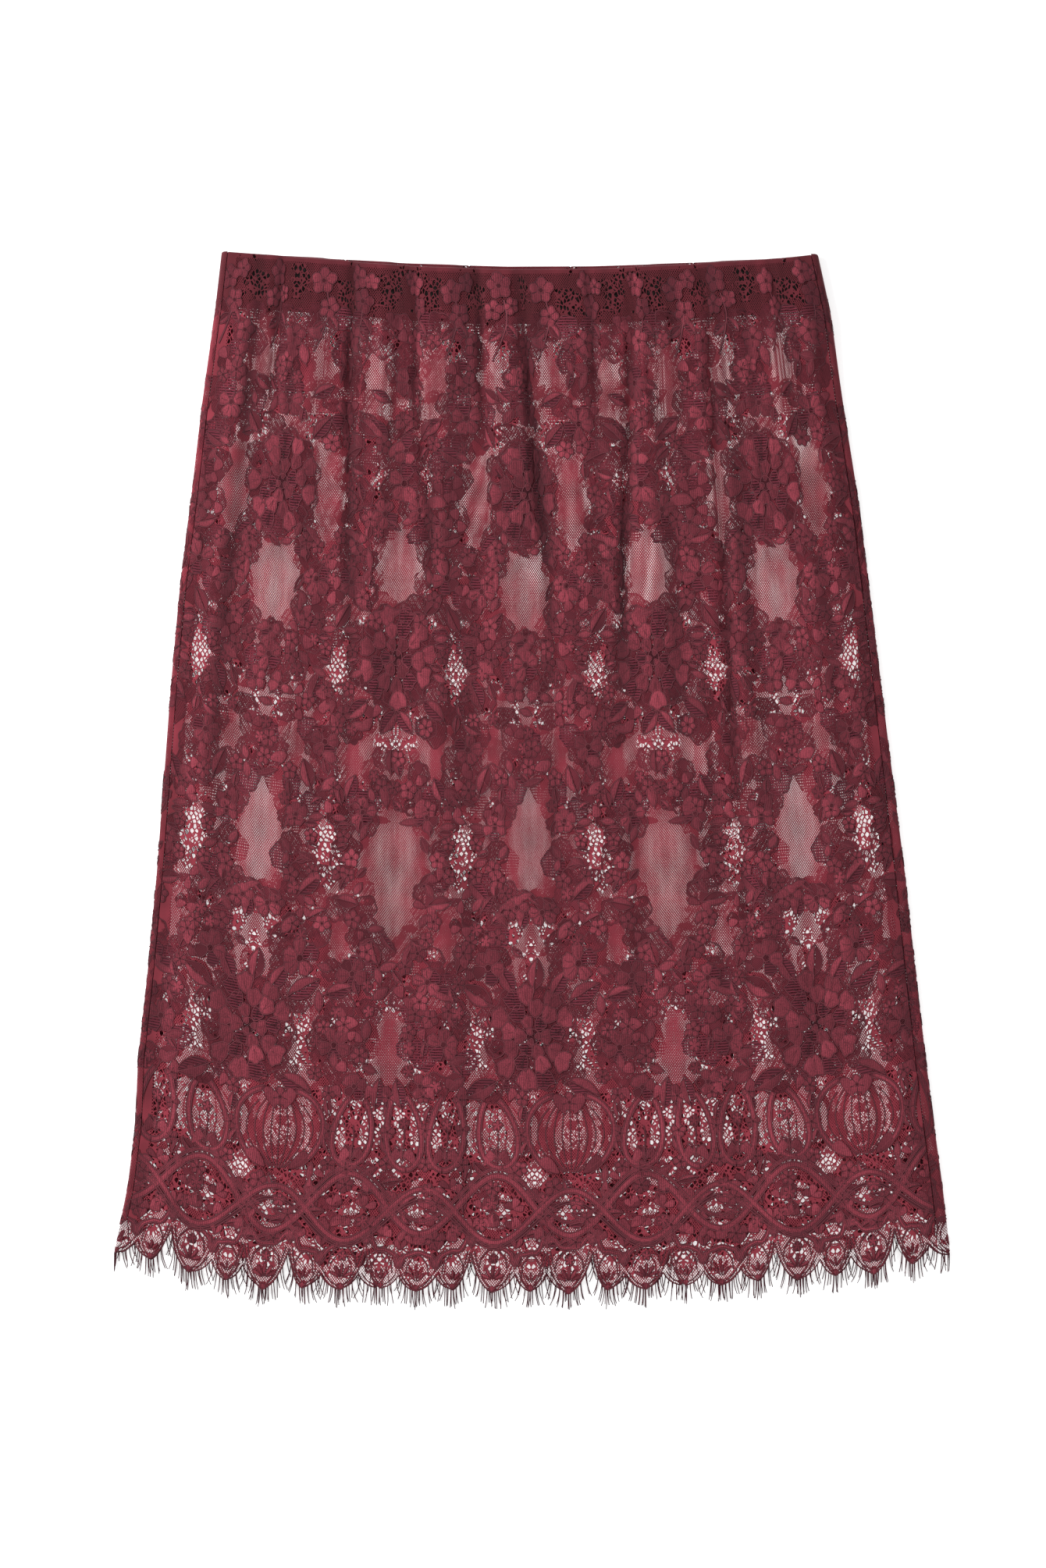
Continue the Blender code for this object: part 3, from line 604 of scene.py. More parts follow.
def fill_ground():
    """Half-stitch clouds, small leaves, flowers and buds where the main flowers leave room."""
    taken = [(p[:, 0].mean(), p[:, 1].mean(), 0.30 * (np.ptp(p[:, 0]) + np.ptp(p[:, 1]))) for p, *_ in shapes]
    grid = []
    for row in range(0, 52):
        for col in range(0, 18):
            w = -REPEAT / 2 + (col + 0.5 * (row % 2)) * REPEAT / 18 + rng.uniform(-2.6, 2.6)
            v = 131.0 + row * 9.6 + rng.uniform(-2.6, 2.6)
            grid.append((w, v))
    for w, v in grid:
        if v > 624.0 or not clear(w, v, 3.0):
            continue
        if clear(w, v, 2.6) and rng.random() < (0.45 if v < 590.0 else 0.8):
            kind = LADDER if rng.random() < 0.16 else HALF
            cloud(w, v, rng.uniform(5.5, 8.0), rng.uniform(6.5, 10.5), int(rng.integers(5, 9)), rng.uniform(0, 3), kind, 0.04 + 0.04 * rng.random(), rng.random() < 0.35, rng.uniform(0.42, 1.0))
    order = rng.permutation(len(grid))
    for index in order:
        w, v = grid[index]
        if v > 622.0:
            continue
        space = 9.0
        for tw, tv, tr in taken:
            d = math.hypot(float(wrap(w - tw)), v - tv) - tr
            space = min(space, d)
        pick = rng.random()
        if space < 0.8:
            continue
        if pick < 0.36:
            size = rng.uniform(3.8, 6.4)
            if clear(w, v, size):
                eyelet_flower(w, v, size, int(rng.integers(5, 7)), rng.uniform(0, 1.2), 0.22)
                taken.append((w, v, size * 0.8))
        elif pick < 0.74:
            angle = rng.uniform(0.2, 2.9)
            length = rng.uniform(9.0, 15.0)
            if clear(w + 0.5 * length * math.cos(angle), v + 0.5 * length * math.sin(angle), 0.42 * length):
                leaf(w, v, angle, length, length * rng.uniform(0.42, 0.56), 0.2, rng.random() < 0.6)
                taken.append((w + 0.5 * length * math.cos(angle), v + 0.5 * length * math.sin(angle), 4.0))
        elif clear(w, v, 5.5):
            for i in range(3):
                a = rng.uniform(0, 2 * PI)
                add(moved(petal(rng.uniform(7, 10), rng.uniform(5, 7.5), 14, 0.45, 0.05), w, v, a), SOLID if i else HALF, 0.16 + 0.04 * i, 0.24, tone())
            taken.append((w, v, 4.5))


# ------------------------------------------------------------------ the scalloped border
def banded(path, width, lift, shade=0.95, kind=SOLID):
    """A narrow closed band with a cord along each side."""
    path = np.asarray(path, dtype=float)
    add(ribbon(path, width), kind, lift, 0.22, shade)
    d = np.gradient(path, axis=0)
    d /= np.maximum(np.linalg.norm(d, axis=1)[:, None], 1e-9)
    side = np.stack([-d[:, 1], d[:, 0]], axis=1) * (width / 2 + 0.2)
    line(path + side, 0.6, lift + 0.24)
    line(path - side, 0.6, lift + 0.24)


def border():
    phase = A_AXIS
    for start, end, tip, before, after in MARKS:
        middle = (start + end) / 2.0
        half = middle - start
        big = half > 12.5
        s = np.linspace(-1.0, 1.0, 21)
        valley = np.where(s < 0, before, after)
        rise = 0.35 * np.abs(s) + 0.65 * np.abs(s) ** 3
        w = phase + middle + half * s
        v = tip + (valley - tip) * rise
        line(np.stack([w, v + 0.3], axis=1), 0.6, 0.34, False, 0.8)
        for inset, up in ((2.2, 2.6),) if big else ((1.9, 2.2),):
            inner_w = phase + middle + (half - inset) * s
            inner_v = tip + up + (valley - tip - 0.5 * up) * rise
            line(np.stack([inner_w, inner_v], axis=1), 0.5, 0.30, False, 0.75)
        foot_w, foot_v = phase + middle, tip + (8.0 if big else 5.5)
        add([(foot_w - 0.22 * half, tip + 2.6), (foot_w, tip + 0.5), (foot_w + 0.22 * half, tip + 2.6), (foot_w, tip + 4.6)], SOLID, 0.24, 0.2, 0.9)
        n = 5 if big else 3
        reach_of = 0.62 * half
        for i in range(n):
            a = PI / 2 + (i - (n - 1) / 2) * (0.55 if big else 0.62)
            add(moved(petal(reach_of * (1.0 - 0.07 * abs(i - (n - 1) / 2)), 0.16 * half, 10, 0.5), foot_w + 0.8 * math.cos(a), foot_v + 0.8 * math.sin(a), a), SOLID, 0.24, 0.24, tone())
        # an arch over each scallop, closed at its crown, with a wheel of open net below it
        crown = tip + (31.0 if big else 26.0)
        arch = [(phase + middle - half * 0.98, before + 6.0), (phase + middle - half * 0.80, before + 13.0), (phase + middle - half * 0.42, crown - 2.5),
                (phase + middle, crown), (phase + middle + half * 0.42, crown - 2.5), (phase + middle + half * 0.80, after + 13.0), (phase + middle + half * 0.98, after + 6.0)]
        t = np.linspace(0, 6, 19)
        arch = np.array(arch)
        arch = np.stack([np.interp(t, range(7), arch[:, 0]), np.interp(t, range(7), arch[:, 1])], axis=1)
        for _ in range(3):
            arch[1:-1] = (arch[:-2] + arch[2:] + 2 * arch[1:-1]) / 4
        banded(arch, 1.9, 0.26, float(rng.uniform(0.8, 1.05)))
        wheel_v = crown - 9.0
        if big:
            eyelet_flower(foot_w, wheel_v, 3.1, 5, 0.2, 0.26)
        for side in (-1, 1):
            line([(foot_w + side * half * 0.62, wheel_v - 7.0), (foot_w + side * half * 0.55, wheel_v), (foot_w + side * half * 0.25, wheel_v + 5.0), (foot_w, wheel_v + 6.5)], 0.6, 0.3, False, 0.85)
        for side in (-1, 1):
            cw = phase + middle + side * half
            cv = (after if side > 0 else before)
            leaf(cw, cv + 4.0, PI / 2 - side * 0.25, 11.0, 4.6, 0.24, True)
            add(moved(petal(8.0, 3.6, 12, 0.5), cw, cv + 16.0, PI / 2 + side * 0.45), SOLID, 0.3, 0.24, tone())
    # sweeping bands that cross one another above the arches
    u = np.linspace(-REPEAT / 2, REPEAT / 2, 61)
    sweep = 2 * PI * u / REPEAT
    for height, width, lift in (
        (57.0 - 19.0 * np.cos(2 * sweep), 3.4, 0.30), (63.5 - 17.0 * np.cos(2 * sweep), 1.4, 0.36),
        (50.0 + 17.0 * np.cos(2 * sweep), 3.0, 0.38), (44.5 + 15.0 * np.cos(2 * sweep), 1.2, 0.42),
    ):
        banded(np.stack([phase + u, height], axis=1), width, lift, float(rng.uniform(0.85, 1.0)))
    for i in range(28):
        at = -REPEAT / 2 + (i + 0.5) * REPEAT / 28 + rng.uniform(-1.2, 1.2)
        low = 47.0 - 6.0 * math.cos(4 * PI * at / REPEAT)
        for v in (low - 7.0, low + 6.0, low + 16.0, low + 26.0):
            if v > 82.0 or rng.random() < 0.2:
                continue
            pick = rng.random()
            if pick < 0.26:
                eyelet_flower(phase + at, v + rng.uniform(-1, 1), rng.uniform(3.8, 6.0), int(rng.integers(5, 7)), rng.uniform(0, 1), 0.28)
            elif pick < 0.60:
                leaf(phase + at - 4.0, v - 2.5, rng.uniform(0.0, 2.8), rng.uniform(9.0, 14.0), rng.uniform(4.4, 6.2), 0.22, rng.random() < 0.6)
            elif pick < 0.86:
                for a in (0.4, 1.3, 2.3):
                    add(moved(petal(rng.uniform(6.5, 9.0), rng.uniform(4.0, 5.4), 14, 0.45, 0.05), phase + at, v - 3.0, a + rng.uniform(-0.3, 0.3)), SOLID, 0.2, 0.24, tone())
            if rng.random() < 0.25:
                cloud(phase + at, v, rng.uniform(3.5, 6.0), rng.uniform(3.5, 6.5), 6, 0.0, HALF, 0.05, False)
    medallions(phase)


def medallions(phase):
    """Large frames of thin bands above the border, with veins or a sprig on net inside each."""
    # the broad one on the axis of the widest scallop
    t = np.linspace(0.0, 2 * PI, 41)
    broad = np.stack([phase + 29.0 * np.sin(t) * (1.0 - 0.10 * np.cos(t)), 103.0 - 27.0 * np.cos(t)], axis=1)
    for part in (broad[3:19], broad[22:38]):
        banded(part, 2.6, 0.30, float(rng.uniform(0.8, 1.0)))
    for i in range(9):
        bend = (i - 4) * 5.6
        ys = np.linspace(-24.5, 22.0 - 1.2 * abs(i - 4), 9)
        line(np.stack([phase + bend * np.sin((ys + 27.0) / 54.0 * PI) ** 0.8, 103.0 + ys], axis=1), 0.6, 0.22, False, 0.85)
    for side in (-1, 1):
        for a, length, width, up in ((0.42, 15.0, 7.0, 13.0),):
            add(moved(petal(length, width, 16, 0.4, 0.05), phase + side * 3.0, 103.0 + up, PI / 2 - side * a), SOLID, 0.24, 0.26, tone())
        add(moved(petal(16.0, 8.0, 16, 0.4, 0.04), phase + side * 8.0, 78.0, PI / 2 - side * 0.9), SOLID, 0.28, 0.26, tone())
    eyelet_flower(phase, 124.0, 6.0, 5, 0.3, 0.3)
    # narrow ones: two together on the other axis, and one on each side between the axes
    for at, tilt, wide, tall in ((-REPEAT / 2 - 14.5, 0.10, 11.5, 25.0), (-REPEAT / 2 + 14.5, -0.10, 11.5, 25.0), (-49.0, 0.16, 12.5, 23.0), (49.0, -0.16, 12.5, 23.0)):
        cw, cv = phase + at, 104.0
        t = np.linspace(-PI / 2, 1.5 * PI, 34)
        egg = np.stack([wide * np.cos(t) * (1.0 - 0.22 * np.sin(t)), tall * np.sin(t)], axis=1)
        c, s = math.cos(tilt), math.sin(tilt)
        egg = egg @ np.array([[c, s], [-s, c]]) + [cw, cv]
        for part in (egg[:15], egg[19:]):
            banded(part, 2.8, 0.32, float(rng.uniform(0.85, 1.02)))
        for i, a in enumerate((1.57, 0.9, 2.25)):
            leaf(cw + 0.5 * (i % 2), cv - 20.0 + 2.0 * i, a, 10.0 - 0.8 * i, 4.0, 0.26, i % 2 == 0)
        if at < 0:
            eyelet_flower(cw, cv + 4.5, 3.6, 5, 0.2, 0.3)
        line([(cw, cv - 12.0), (cw + 1.0, cv - 4.0), (cw, cv + 3.0)], 0.6, 0.4, False, 0.8)
        for side in (-1, 1):
            add(moved(petal(10.0, 5.5, 14, 0.45, 0.05), cw + side * 8.0, cv + 20.0, PI / 2 - side * 0.5), SOLID, 0.3, 0.25, tone())
            add(moved(petal(12.0, 6.0, 14, 0.45, 0.05), cw + side * 9.0, cv - 22.0, PI / 2 + side * 0.6), SOLID, 0.26, 0.25, tone())
    # closed work between the frames
    for at in (-REPEAT / 2, -73.0, -33.0, 33.0, 73.0):
        for i in range(5):
            v = 82.0 + 11.0 * i + rng.uniform(-1.5, 1.5)
            if i % 2:
                leaf(phase + at, v - 4.0, PI / 2 + rng.uniform(-0.5, 0.5), 12.0, 5.5, 0.2, True)
            else:
                eyelet_flower(phase + at + rng.uniform(-1.5, 1.5), v, 4.8, 5, rng.uniform(0, 1), 0.24)


main_flowers()
flower_chains()
leaves()
border()
fill_ground()


# ------------------------------------------------------------------ triangulating the shapes
def to_outline(points, where):
    """Distance of each place from the closed outline."""
    a = points
    b = np.roll(points, -1, axis=0)
    ab = b - a
    length = np.maximum((ab ** 2).sum(axis=1), 1e-12)
    t = np.clip(((where[:, None, :] - a[None]) * ab[None]).sum(axis=2) / length[None], 0.0, 1.0)
    near = a[None] + t[:, :, None] * ab[None]
    return np.sqrt(((where[:, None, :] - near) ** 2).sum(axis=2)).min(axis=1)


def within(points, where):
    a = points
    b = np.roll(points, -1, axis=0)
    above = (a[None, :, 1] > where[:, None, 1]) != (b[None, :, 1] > where[:, None, 1])
    rise = np.where(np.abs(b[:, 1] - a[:, 1]) < 1e-9, 1e-9, b[:, 1] - a[:, 1])
    cross = a[None, :, 0] + (where[:, None, 1] - a[None, :, 1]) * (b[None, :, 0] - a[None, :, 0]) / rise[None]
    return (above & (where[:, None, 0] < cross)).sum(axis=1) % 2 == 1


def triangulated(points, kind, fine):
    """Points, triangles and each point's distance from the outline, for one closed shape."""
    if not fine and len(points) > 15:
        points = points[::2]
    n = len(points)
    extra = []
    inset = 0.75
    if kind == SOLID and fine:
        a = np.roll(points, 1, axis=0)
        b = np.roll(points, -1, axis=0)
        d = b - a
        d /= np.maximum(np.linalg.norm(d, axis=1)[:, None], 1e-9)
        area = 0.5 * np.sum(points[:, 0] * b[:, 1] - b[:, 0] * points[:, 1])
        side = np.stack([-d[:, 1], d[:, 0]], axis=1) * (1.0 if area > 0 else -1.0)
        ring = points + side * inset
        keep = within(points, ring) & (to_outline(points, ring) > 0.62 * inset)
        extra.append(ring[keep])
    low, high = points.min(axis=0), points.max(axis=0)
    step = (3.8 if kind == SOLID else 5.0) if fine else 6.0
    gx, gy = np.meshgrid(np.arange(low[0] + step / 2, high[0], step), np.arange(low[1] + step / 2, high[1], step))
    if gx.size:
        gx = gx + np.where(np.arange(gx.shape[0]) % 2 == 0, 0.0, step / 2)[:, None]
        inner = np.stack([gx.ravel(), gy.ravel()], axis=1)
        inner = inner[within(points, inner)]
        if len(inner):
            inner = inner[to_outline(points, inner) > (1.7 if kind == SOLID else 1.5)]
            extra.append(inner)
    every = np.vstack([points] + extra) if extra else points
    out = geometry.delaunay_2d_cdt([Vector(p) for p in every], [], [list(range(n))], 1, 1e-5)
    verts = np.array([tuple(p) for p in out[0]])
    tris = np.array([tuple(f) for f in out[2] if len(f) == 3], dtype=int).reshape(-1, 3)
    return verts, tris, to_outline(points, verts)


class Gather:
    """Collects pieces of mesh in cloth coordinates before they are laid on a panel."""

    def __init__(self):
        self.at, self.faces, self.kind, self.shade, self.rim, self.total = [], [], [], [], [], 0

    def put(self, uv, lift, faces, kind, shade, rim):
        n = len(uv)
        self.at.append(np.column_stack([uv, np.broadcast_to(lift, (n,))]))
        self.faces.append(np.asarray(faces) + self.total)
        self.kind.append(np.full(len(faces), kind))
        self.shade.append(np.broadcast_to(shade, (n,)))
        self.rim.append(np.broadcast_to(rim, (n,)))
        self.total += n

    def joined(self):
        return (np.vstack(self.at), np.vstack(self.faces), np.concatenate(self.kind), np.concatenate(self.shade), np.concatenate(self.rim))


def collect_shapes(fine):
    box = Gather()
    for points, kind, lift, relief, shade in shapes:
        verts, tris, far = triangulated(points, kind, fine)
        if not len(tris):
            continue
        e1 = verts[tris[:, 1]] - verts[tris[:, 0]]
        e2 = verts[tris[:, 2]] - verts[tris[:, 0]]
        wrong = e1[:, 0] * e2[:, 1] - e1[:, 1] * e2[:, 0] < 0
        tris[wrong] = tris[wrong][:, ::-1]
        puff = relief * smooth(far / 0.9) + 0.25 * relief * smooth(far / 6.0)
        # rim: 0 on the outline and 1 from 1.2 mm in (from 0.45 on the coarse pieces); the clothwork paints shade near
        # the outline with it, and the see-through fillings stay closed there
        rim = np.clip(far / 1.2, 0.0, 1.0) if fine else np.clip(0.45 + far / 2.0, 0.0, 1.0)
        box.put(verts, lift + puff, tris, kind, shade, rim)
    return box


def collect_cords(box, fine):
    """Cords as low ridges, or as flat strips where only their colour can be seen."""
    for points, width, lift, closed, shade in cords:
        if not fine and len(points) > 12:
            points = points[::2]
        p = np.vstack([points[-1:], points, points[:2]]) if closed else points
        d = np.gradient(p, axis=0)
        d /= np.maximum(np.linalg.norm(d, axis=1)[:, None], 1e-9)
        side = np.stack([-d[:, 1], d[:, 0]], axis=1) * width / 2
        if closed:
            p, side = p[1:-1], side[1:-1]
        n = len(p)
        if fine:
            taper = np.ones(n) if closed else smooth(np.minimum(np.arange(n), np.arange(n)[::-1]) / 1.0 + 0.35)
            uv = np.vstack([p - side, p, p + side])
            height = np.concatenate([np.full(n, lift - 0.22), lift + 0.10 * taper, np.full(n, lift - 0.22)])
            # rim is 1 on the crest and -0.35 on the flanks, which the cord material paints as a highlight and as
            # shade
            rim = np.concatenate([np.full(n, -0.35), np.ones(n), np.full(n, -0.35)])
        else:
            uv, height, rim = np.vstack([p - side, p + side]), lift, 0.55
        faces = []
        for i in range(n - 1):
            for base in ((0, n) if fine else (0,)):
                a, b, c, e = base + i, base + i + 1, base + n + i + 1, base + n + i
                faces += [(a, b, c), (a, c, e)]
        box.put(uv, height, faces, CORD, shade, rim)
    return box


# ------------------------------------------------------------------ laying them on a panel
def reach_at(f, v, back):
    y = heights(f, np.minimum(v, TURN_V), 2 if back else 1)
    return back_reach(y) if back else front_reach(y)


def laid(box, back, v_low, v_high):
    """World points and faces of one panel's motifs between two heights of the cloth, all repeats."""
    at, faces, kind, shade, rim = box.joined()
    middle = at[faces, 1].mean(axis=1)
    pick = (middle >= v_low) & (middle < v_high)
    faces, kind = faces[pick], kind[pick]
    used, back_to = np.unique(faces, return_inverse=True)
    faces = back_to.reshape(-1, 3)
    at, shade, rim = at[used], shade[used], rim[used]
    every = []
    total = 0
    for k in range(-3, 4):
        u = at[:, 0] - 24.3 + k * REPEAT
        f = f_of_u(MIRROR - u) if back else f_of_u(u)
        if f.max() < -0.03 or f.min() > 1.03:
            continue
        low, high = reach_at(f, at[:, 1], back)
        held = np.clip(f, low, high)
        stray = np.abs(f - held) * CLOTH
        corner = held[faces] * CLOTH
        tall = at[faces, 1]
        area = (corner[:, 1] - corner[:, 0]) * (tall[:, 2] - tall[:, 0]) - (corner[:, 2] - corner[:, 0]) * (tall[:, 1] - tall[:, 0])
        good = (np.abs(area) > 0.004) & (stray[faces].min(axis=1) < 1e-6)
        if not good.any():
            continue
        kept, renumber = np.unique(faces[good], return_inverse=True)
        uk = held * CLOTH - 292.0
        uk = MIRROR - uk if back else uk
        every.append((uk[kept], at[kept, 1], at[kept, 2], renumber.reshape(-1, 3) + total, kind[good], shade[kept], rim[kept]))
        total += len(kept)
    u = np.concatenate([e[0] for e in every])
    v = np.concatenate([e[1] for e in every])
    lift = np.concatenate([e[2] for e in every])
    tri = np.vstack([e[3] for e in every])
    kinds = np.concatenate([e[4] for e in every])
    tones = np.concatenate([e[5] for e in every])
    rims = np.concatenate([e[6] for e in every])
    if back:
        points = place_back(u, v, 0.06 + 0.55 * lift)
        points[:, 2] = np.where(points[:, 2] < 0.06, 0.06 + 0.3 * (points[:, 2] - 0.06), points[:, 2])
    else:
        points = place_front(u, v, 0.10 + lift)
    # the motifs' shade attribute: each one's own tone times the painted fold shade
    return points, tri, np.stack([u, v], axis=1), kinds, tones * fold_shade(points, back), rims


def fold_shade(points, back):
    """Painted shade and highlight for drawn-in cloth, which lies in many close plies: its creases and the troughs of
    its gathers are painted darker and its crowns a little lighter, partly standing for the denser plies there.
    """
    x, y = points[:, 0], points[:, 1]
    # painted shade in the creases of the folds
    crease = bumps(x, y, FRONT_CREASES, 0.75, 0.6) if not back else 0.5 * bumps(x, y, BACK_RIDGES, 0.6, 0.6)
    # the gathers' crowns painted lighter and their troughs darker
    ripple = gathers(x, y, 2.3 if back else 0.6)
    s = across(x, y) * 2 * PI
    sway = 0.5 * np.sin(y / 90.0)
    # long upright bands painted lighter and darker: painted light and shade of broad folds
    long_fold = 0.20 * np.sin(9.3 * s + sway) * (0.6 + 0.4 * np.sin(2.7 * s + 1.0)) + 0.15 * np.sin(22.7 * s - sway + 1.3) * np.sin(5.1 * s)
    long_fold = long_fold * np.interp(y, [-320.0, -100.0, 120.0, 300.0], [0.25, 0.65, 1.0, 1.2])
    near_edge = np.minimum(x - left_at(y), right_at(y) - x)
    # a band painted darker about 7.5 mm in from each side edge
    long_fold = long_fold - 0.26 * np.exp(-((near_edge - 7.5) / 6.0) ** 2)
    if back:
        # the back painted darker still within a few millimetres of the side edge, where it turns round
        long_fold = long_fold - 0.17 * np.exp(-(near_edge / 5.0) ** 2)
    return np.clip(1.03 - 0.60 * crease + 0.85 * ripple + 1.75 * long_fold, 0.28, 1.20)


def mesh_piece(name, points, faces, materials, weave=None, slots=None, values=None):
    """A mesh object from arrays; faces are triangles or quads, values are point attributes."""
    mesh = bpy.data.meshes.new(name)
    points = (np.asarray(points, dtype=float) + [SHIFT_X, SHIFT_Y, 0.0]) * MM
    faces = np.asarray(faces, dtype=np.int32)
    corners = faces.shape[1]
    mesh.vertices.add(len(points))
    mesh.vertices.foreach_set("co", points.astype(np.float32).ravel())
    mesh.loops.add(faces.size)
    mesh.loops.foreach_set("vertex_index", faces.ravel())
    mesh.polygons.add(len(faces))
    mesh.polygons.foreach_set("loop_start", np.arange(0, faces.size, corners, dtype=np.int32))
    mesh.update(calc_edges=True)
    mesh.polygons.foreach_set("use_smooth", np.ones(len(faces), dtype=bool))
    for material in materials:
        mesh.materials.append(material)
    if slots is not None:
        mesh.polygons.foreach_set("material_index", np.asarray(slots, dtype=np.int32))
    if weave is not None:
        layer = mesh.uv_layers.new(name="weave")
        layer.data.foreach_set("uv", np.asarray(weave, dtype=np.float32)[faces.ravel()].ravel())
    for key, data in (values or {}).items():
        layer = mesh.attributes.new(key, "FLOAT", "POINT")
        layer.data.foreach_set("value", np.asarray(data, dtype=np.float32))
    mesh.validate(clean_customdata=False)
    thing = bpy.data.objects.new(name, mesh)
    bpy.context.scene.collection.objects.link(thing)
    return thing


def grid_faces(columns, rows):
    i, j = np.meshgrid(np.arange(columns - 1), np.arange(rows - 1), indexing="ij")
    a = (i * rows + j).ravel()
    return np.stack([a, a + rows, a + rows + 1, a + 1], axis=1)


def cloth_grid(back):
    """Cloth coordinates of a panel's ground: from the scalloped edge over the waist fold to its end."""
    ends = np.array([0.0, 1.2, 2.6, 4.2, 6.0, 8.0, 10.0, 12.0]) / CLOTH
    q = np.concatenate([ends, np.linspace(15.5 / CLOTH, 1 - 15.5 / CLOTH, 130), (1 - ends)[::-1]])
    fixed = np.concatenate([np.arange(34.0, TURN_V - 1.5, 4.3), TURN_V + TURN_R * np.linspace(0, PI, 7), TURN_V + PI * TURN_R + np.array([5.0, 14.0, 24.0, 33.0])])
    share = np.array([0.0, 0.12, 0.3, 0.5, 0.75, 1.0])
    f = np.repeat(q[:, None], len(fixed) + len(share), axis=1)
    target = f.copy()
    v = np.zeros_like(f)
    for _ in range(4):
        u = f * CLOTH - 292.0
        u = MIRROR - u if back else u
        edge = edge_height(u)
        v[:, : len(share)] = edge[:, :1] + (30.0 - edge[:, :1]) * share[None]
        v[:, len(share):] = fixed[None]
        low, high = reach_at(f, v, back)
        f = low + (high - low) * target
    u = f * CLOTH - 292.0
    u = MIRROR - u if back else u
    return u, v


def ground(name, back, material):
    u, v = cloth_grid(back)
    flat_u, flat_v = u.ravel(), v.ravel()
    points = (place_back if back else place_front)(flat_u, flat_v)
    faces = grid_faces(*u.shape)
    if back:
        faces = faces[:, ::-1]
    w = flat_u + 24.3
    field = np.clip(1.6 - inside(w, flat_v, OPEN_NET), 0.0, 1.0)
    hem = (flat_v < 128.0) & (np.abs(flat_v - 70.0) < 58.0)
    field = np.where(hem, np.maximum(field, 0.50), field)
    for at, wide in ((REPEAT / 2 - 14.5, 7.5), (REPEAT / 2 + 14.5, 7.5), (-49.0, 8.0), (49.0, 8.0)):
        d = (wrap(w - A_AXIS - at) / wide) ** 2 + ((flat_v - 104.0) / 18.0) ** 2
        field = np.where(d < 1.0, 0.68, field)
    field = np.where((wrap(w - A_AXIS) / 28.0) ** 2 + ((flat_v - 103.0) / 26.0) ** 2 < 1.0, -0.3, field)
    bare = inside(w, flat_v, NET_ONLY)
    large = inside(w, flat_v, NET_ONLY[:4])
    field = np.where(bare < 1.15, -0.82, field)
    field = np.where(large < 1.15, -0.6 - 0.17 * np.clip((large - 0.5) / 0.5, 0.0, 1.0), field)
    below = flat_v < edge_height(flat_u) + 7.0
    field = np.where(below, -0.2, field)
    gap = np.minimum(points[:, 0] - left_at(points[:, 1]), right_at(points[:, 1]) - points[:, 0])
    field = np.where((gap < 11.0) & (flat_v > 18.0), -1.0, field)
    # the ground's shade attribute is the painted fold shade alone
    return mesh_piece(name, points, faces, [material], np.stack([flat_u, flat_v], axis=1), None, {"open_net": field, "shade": fold_shade(points, back)})


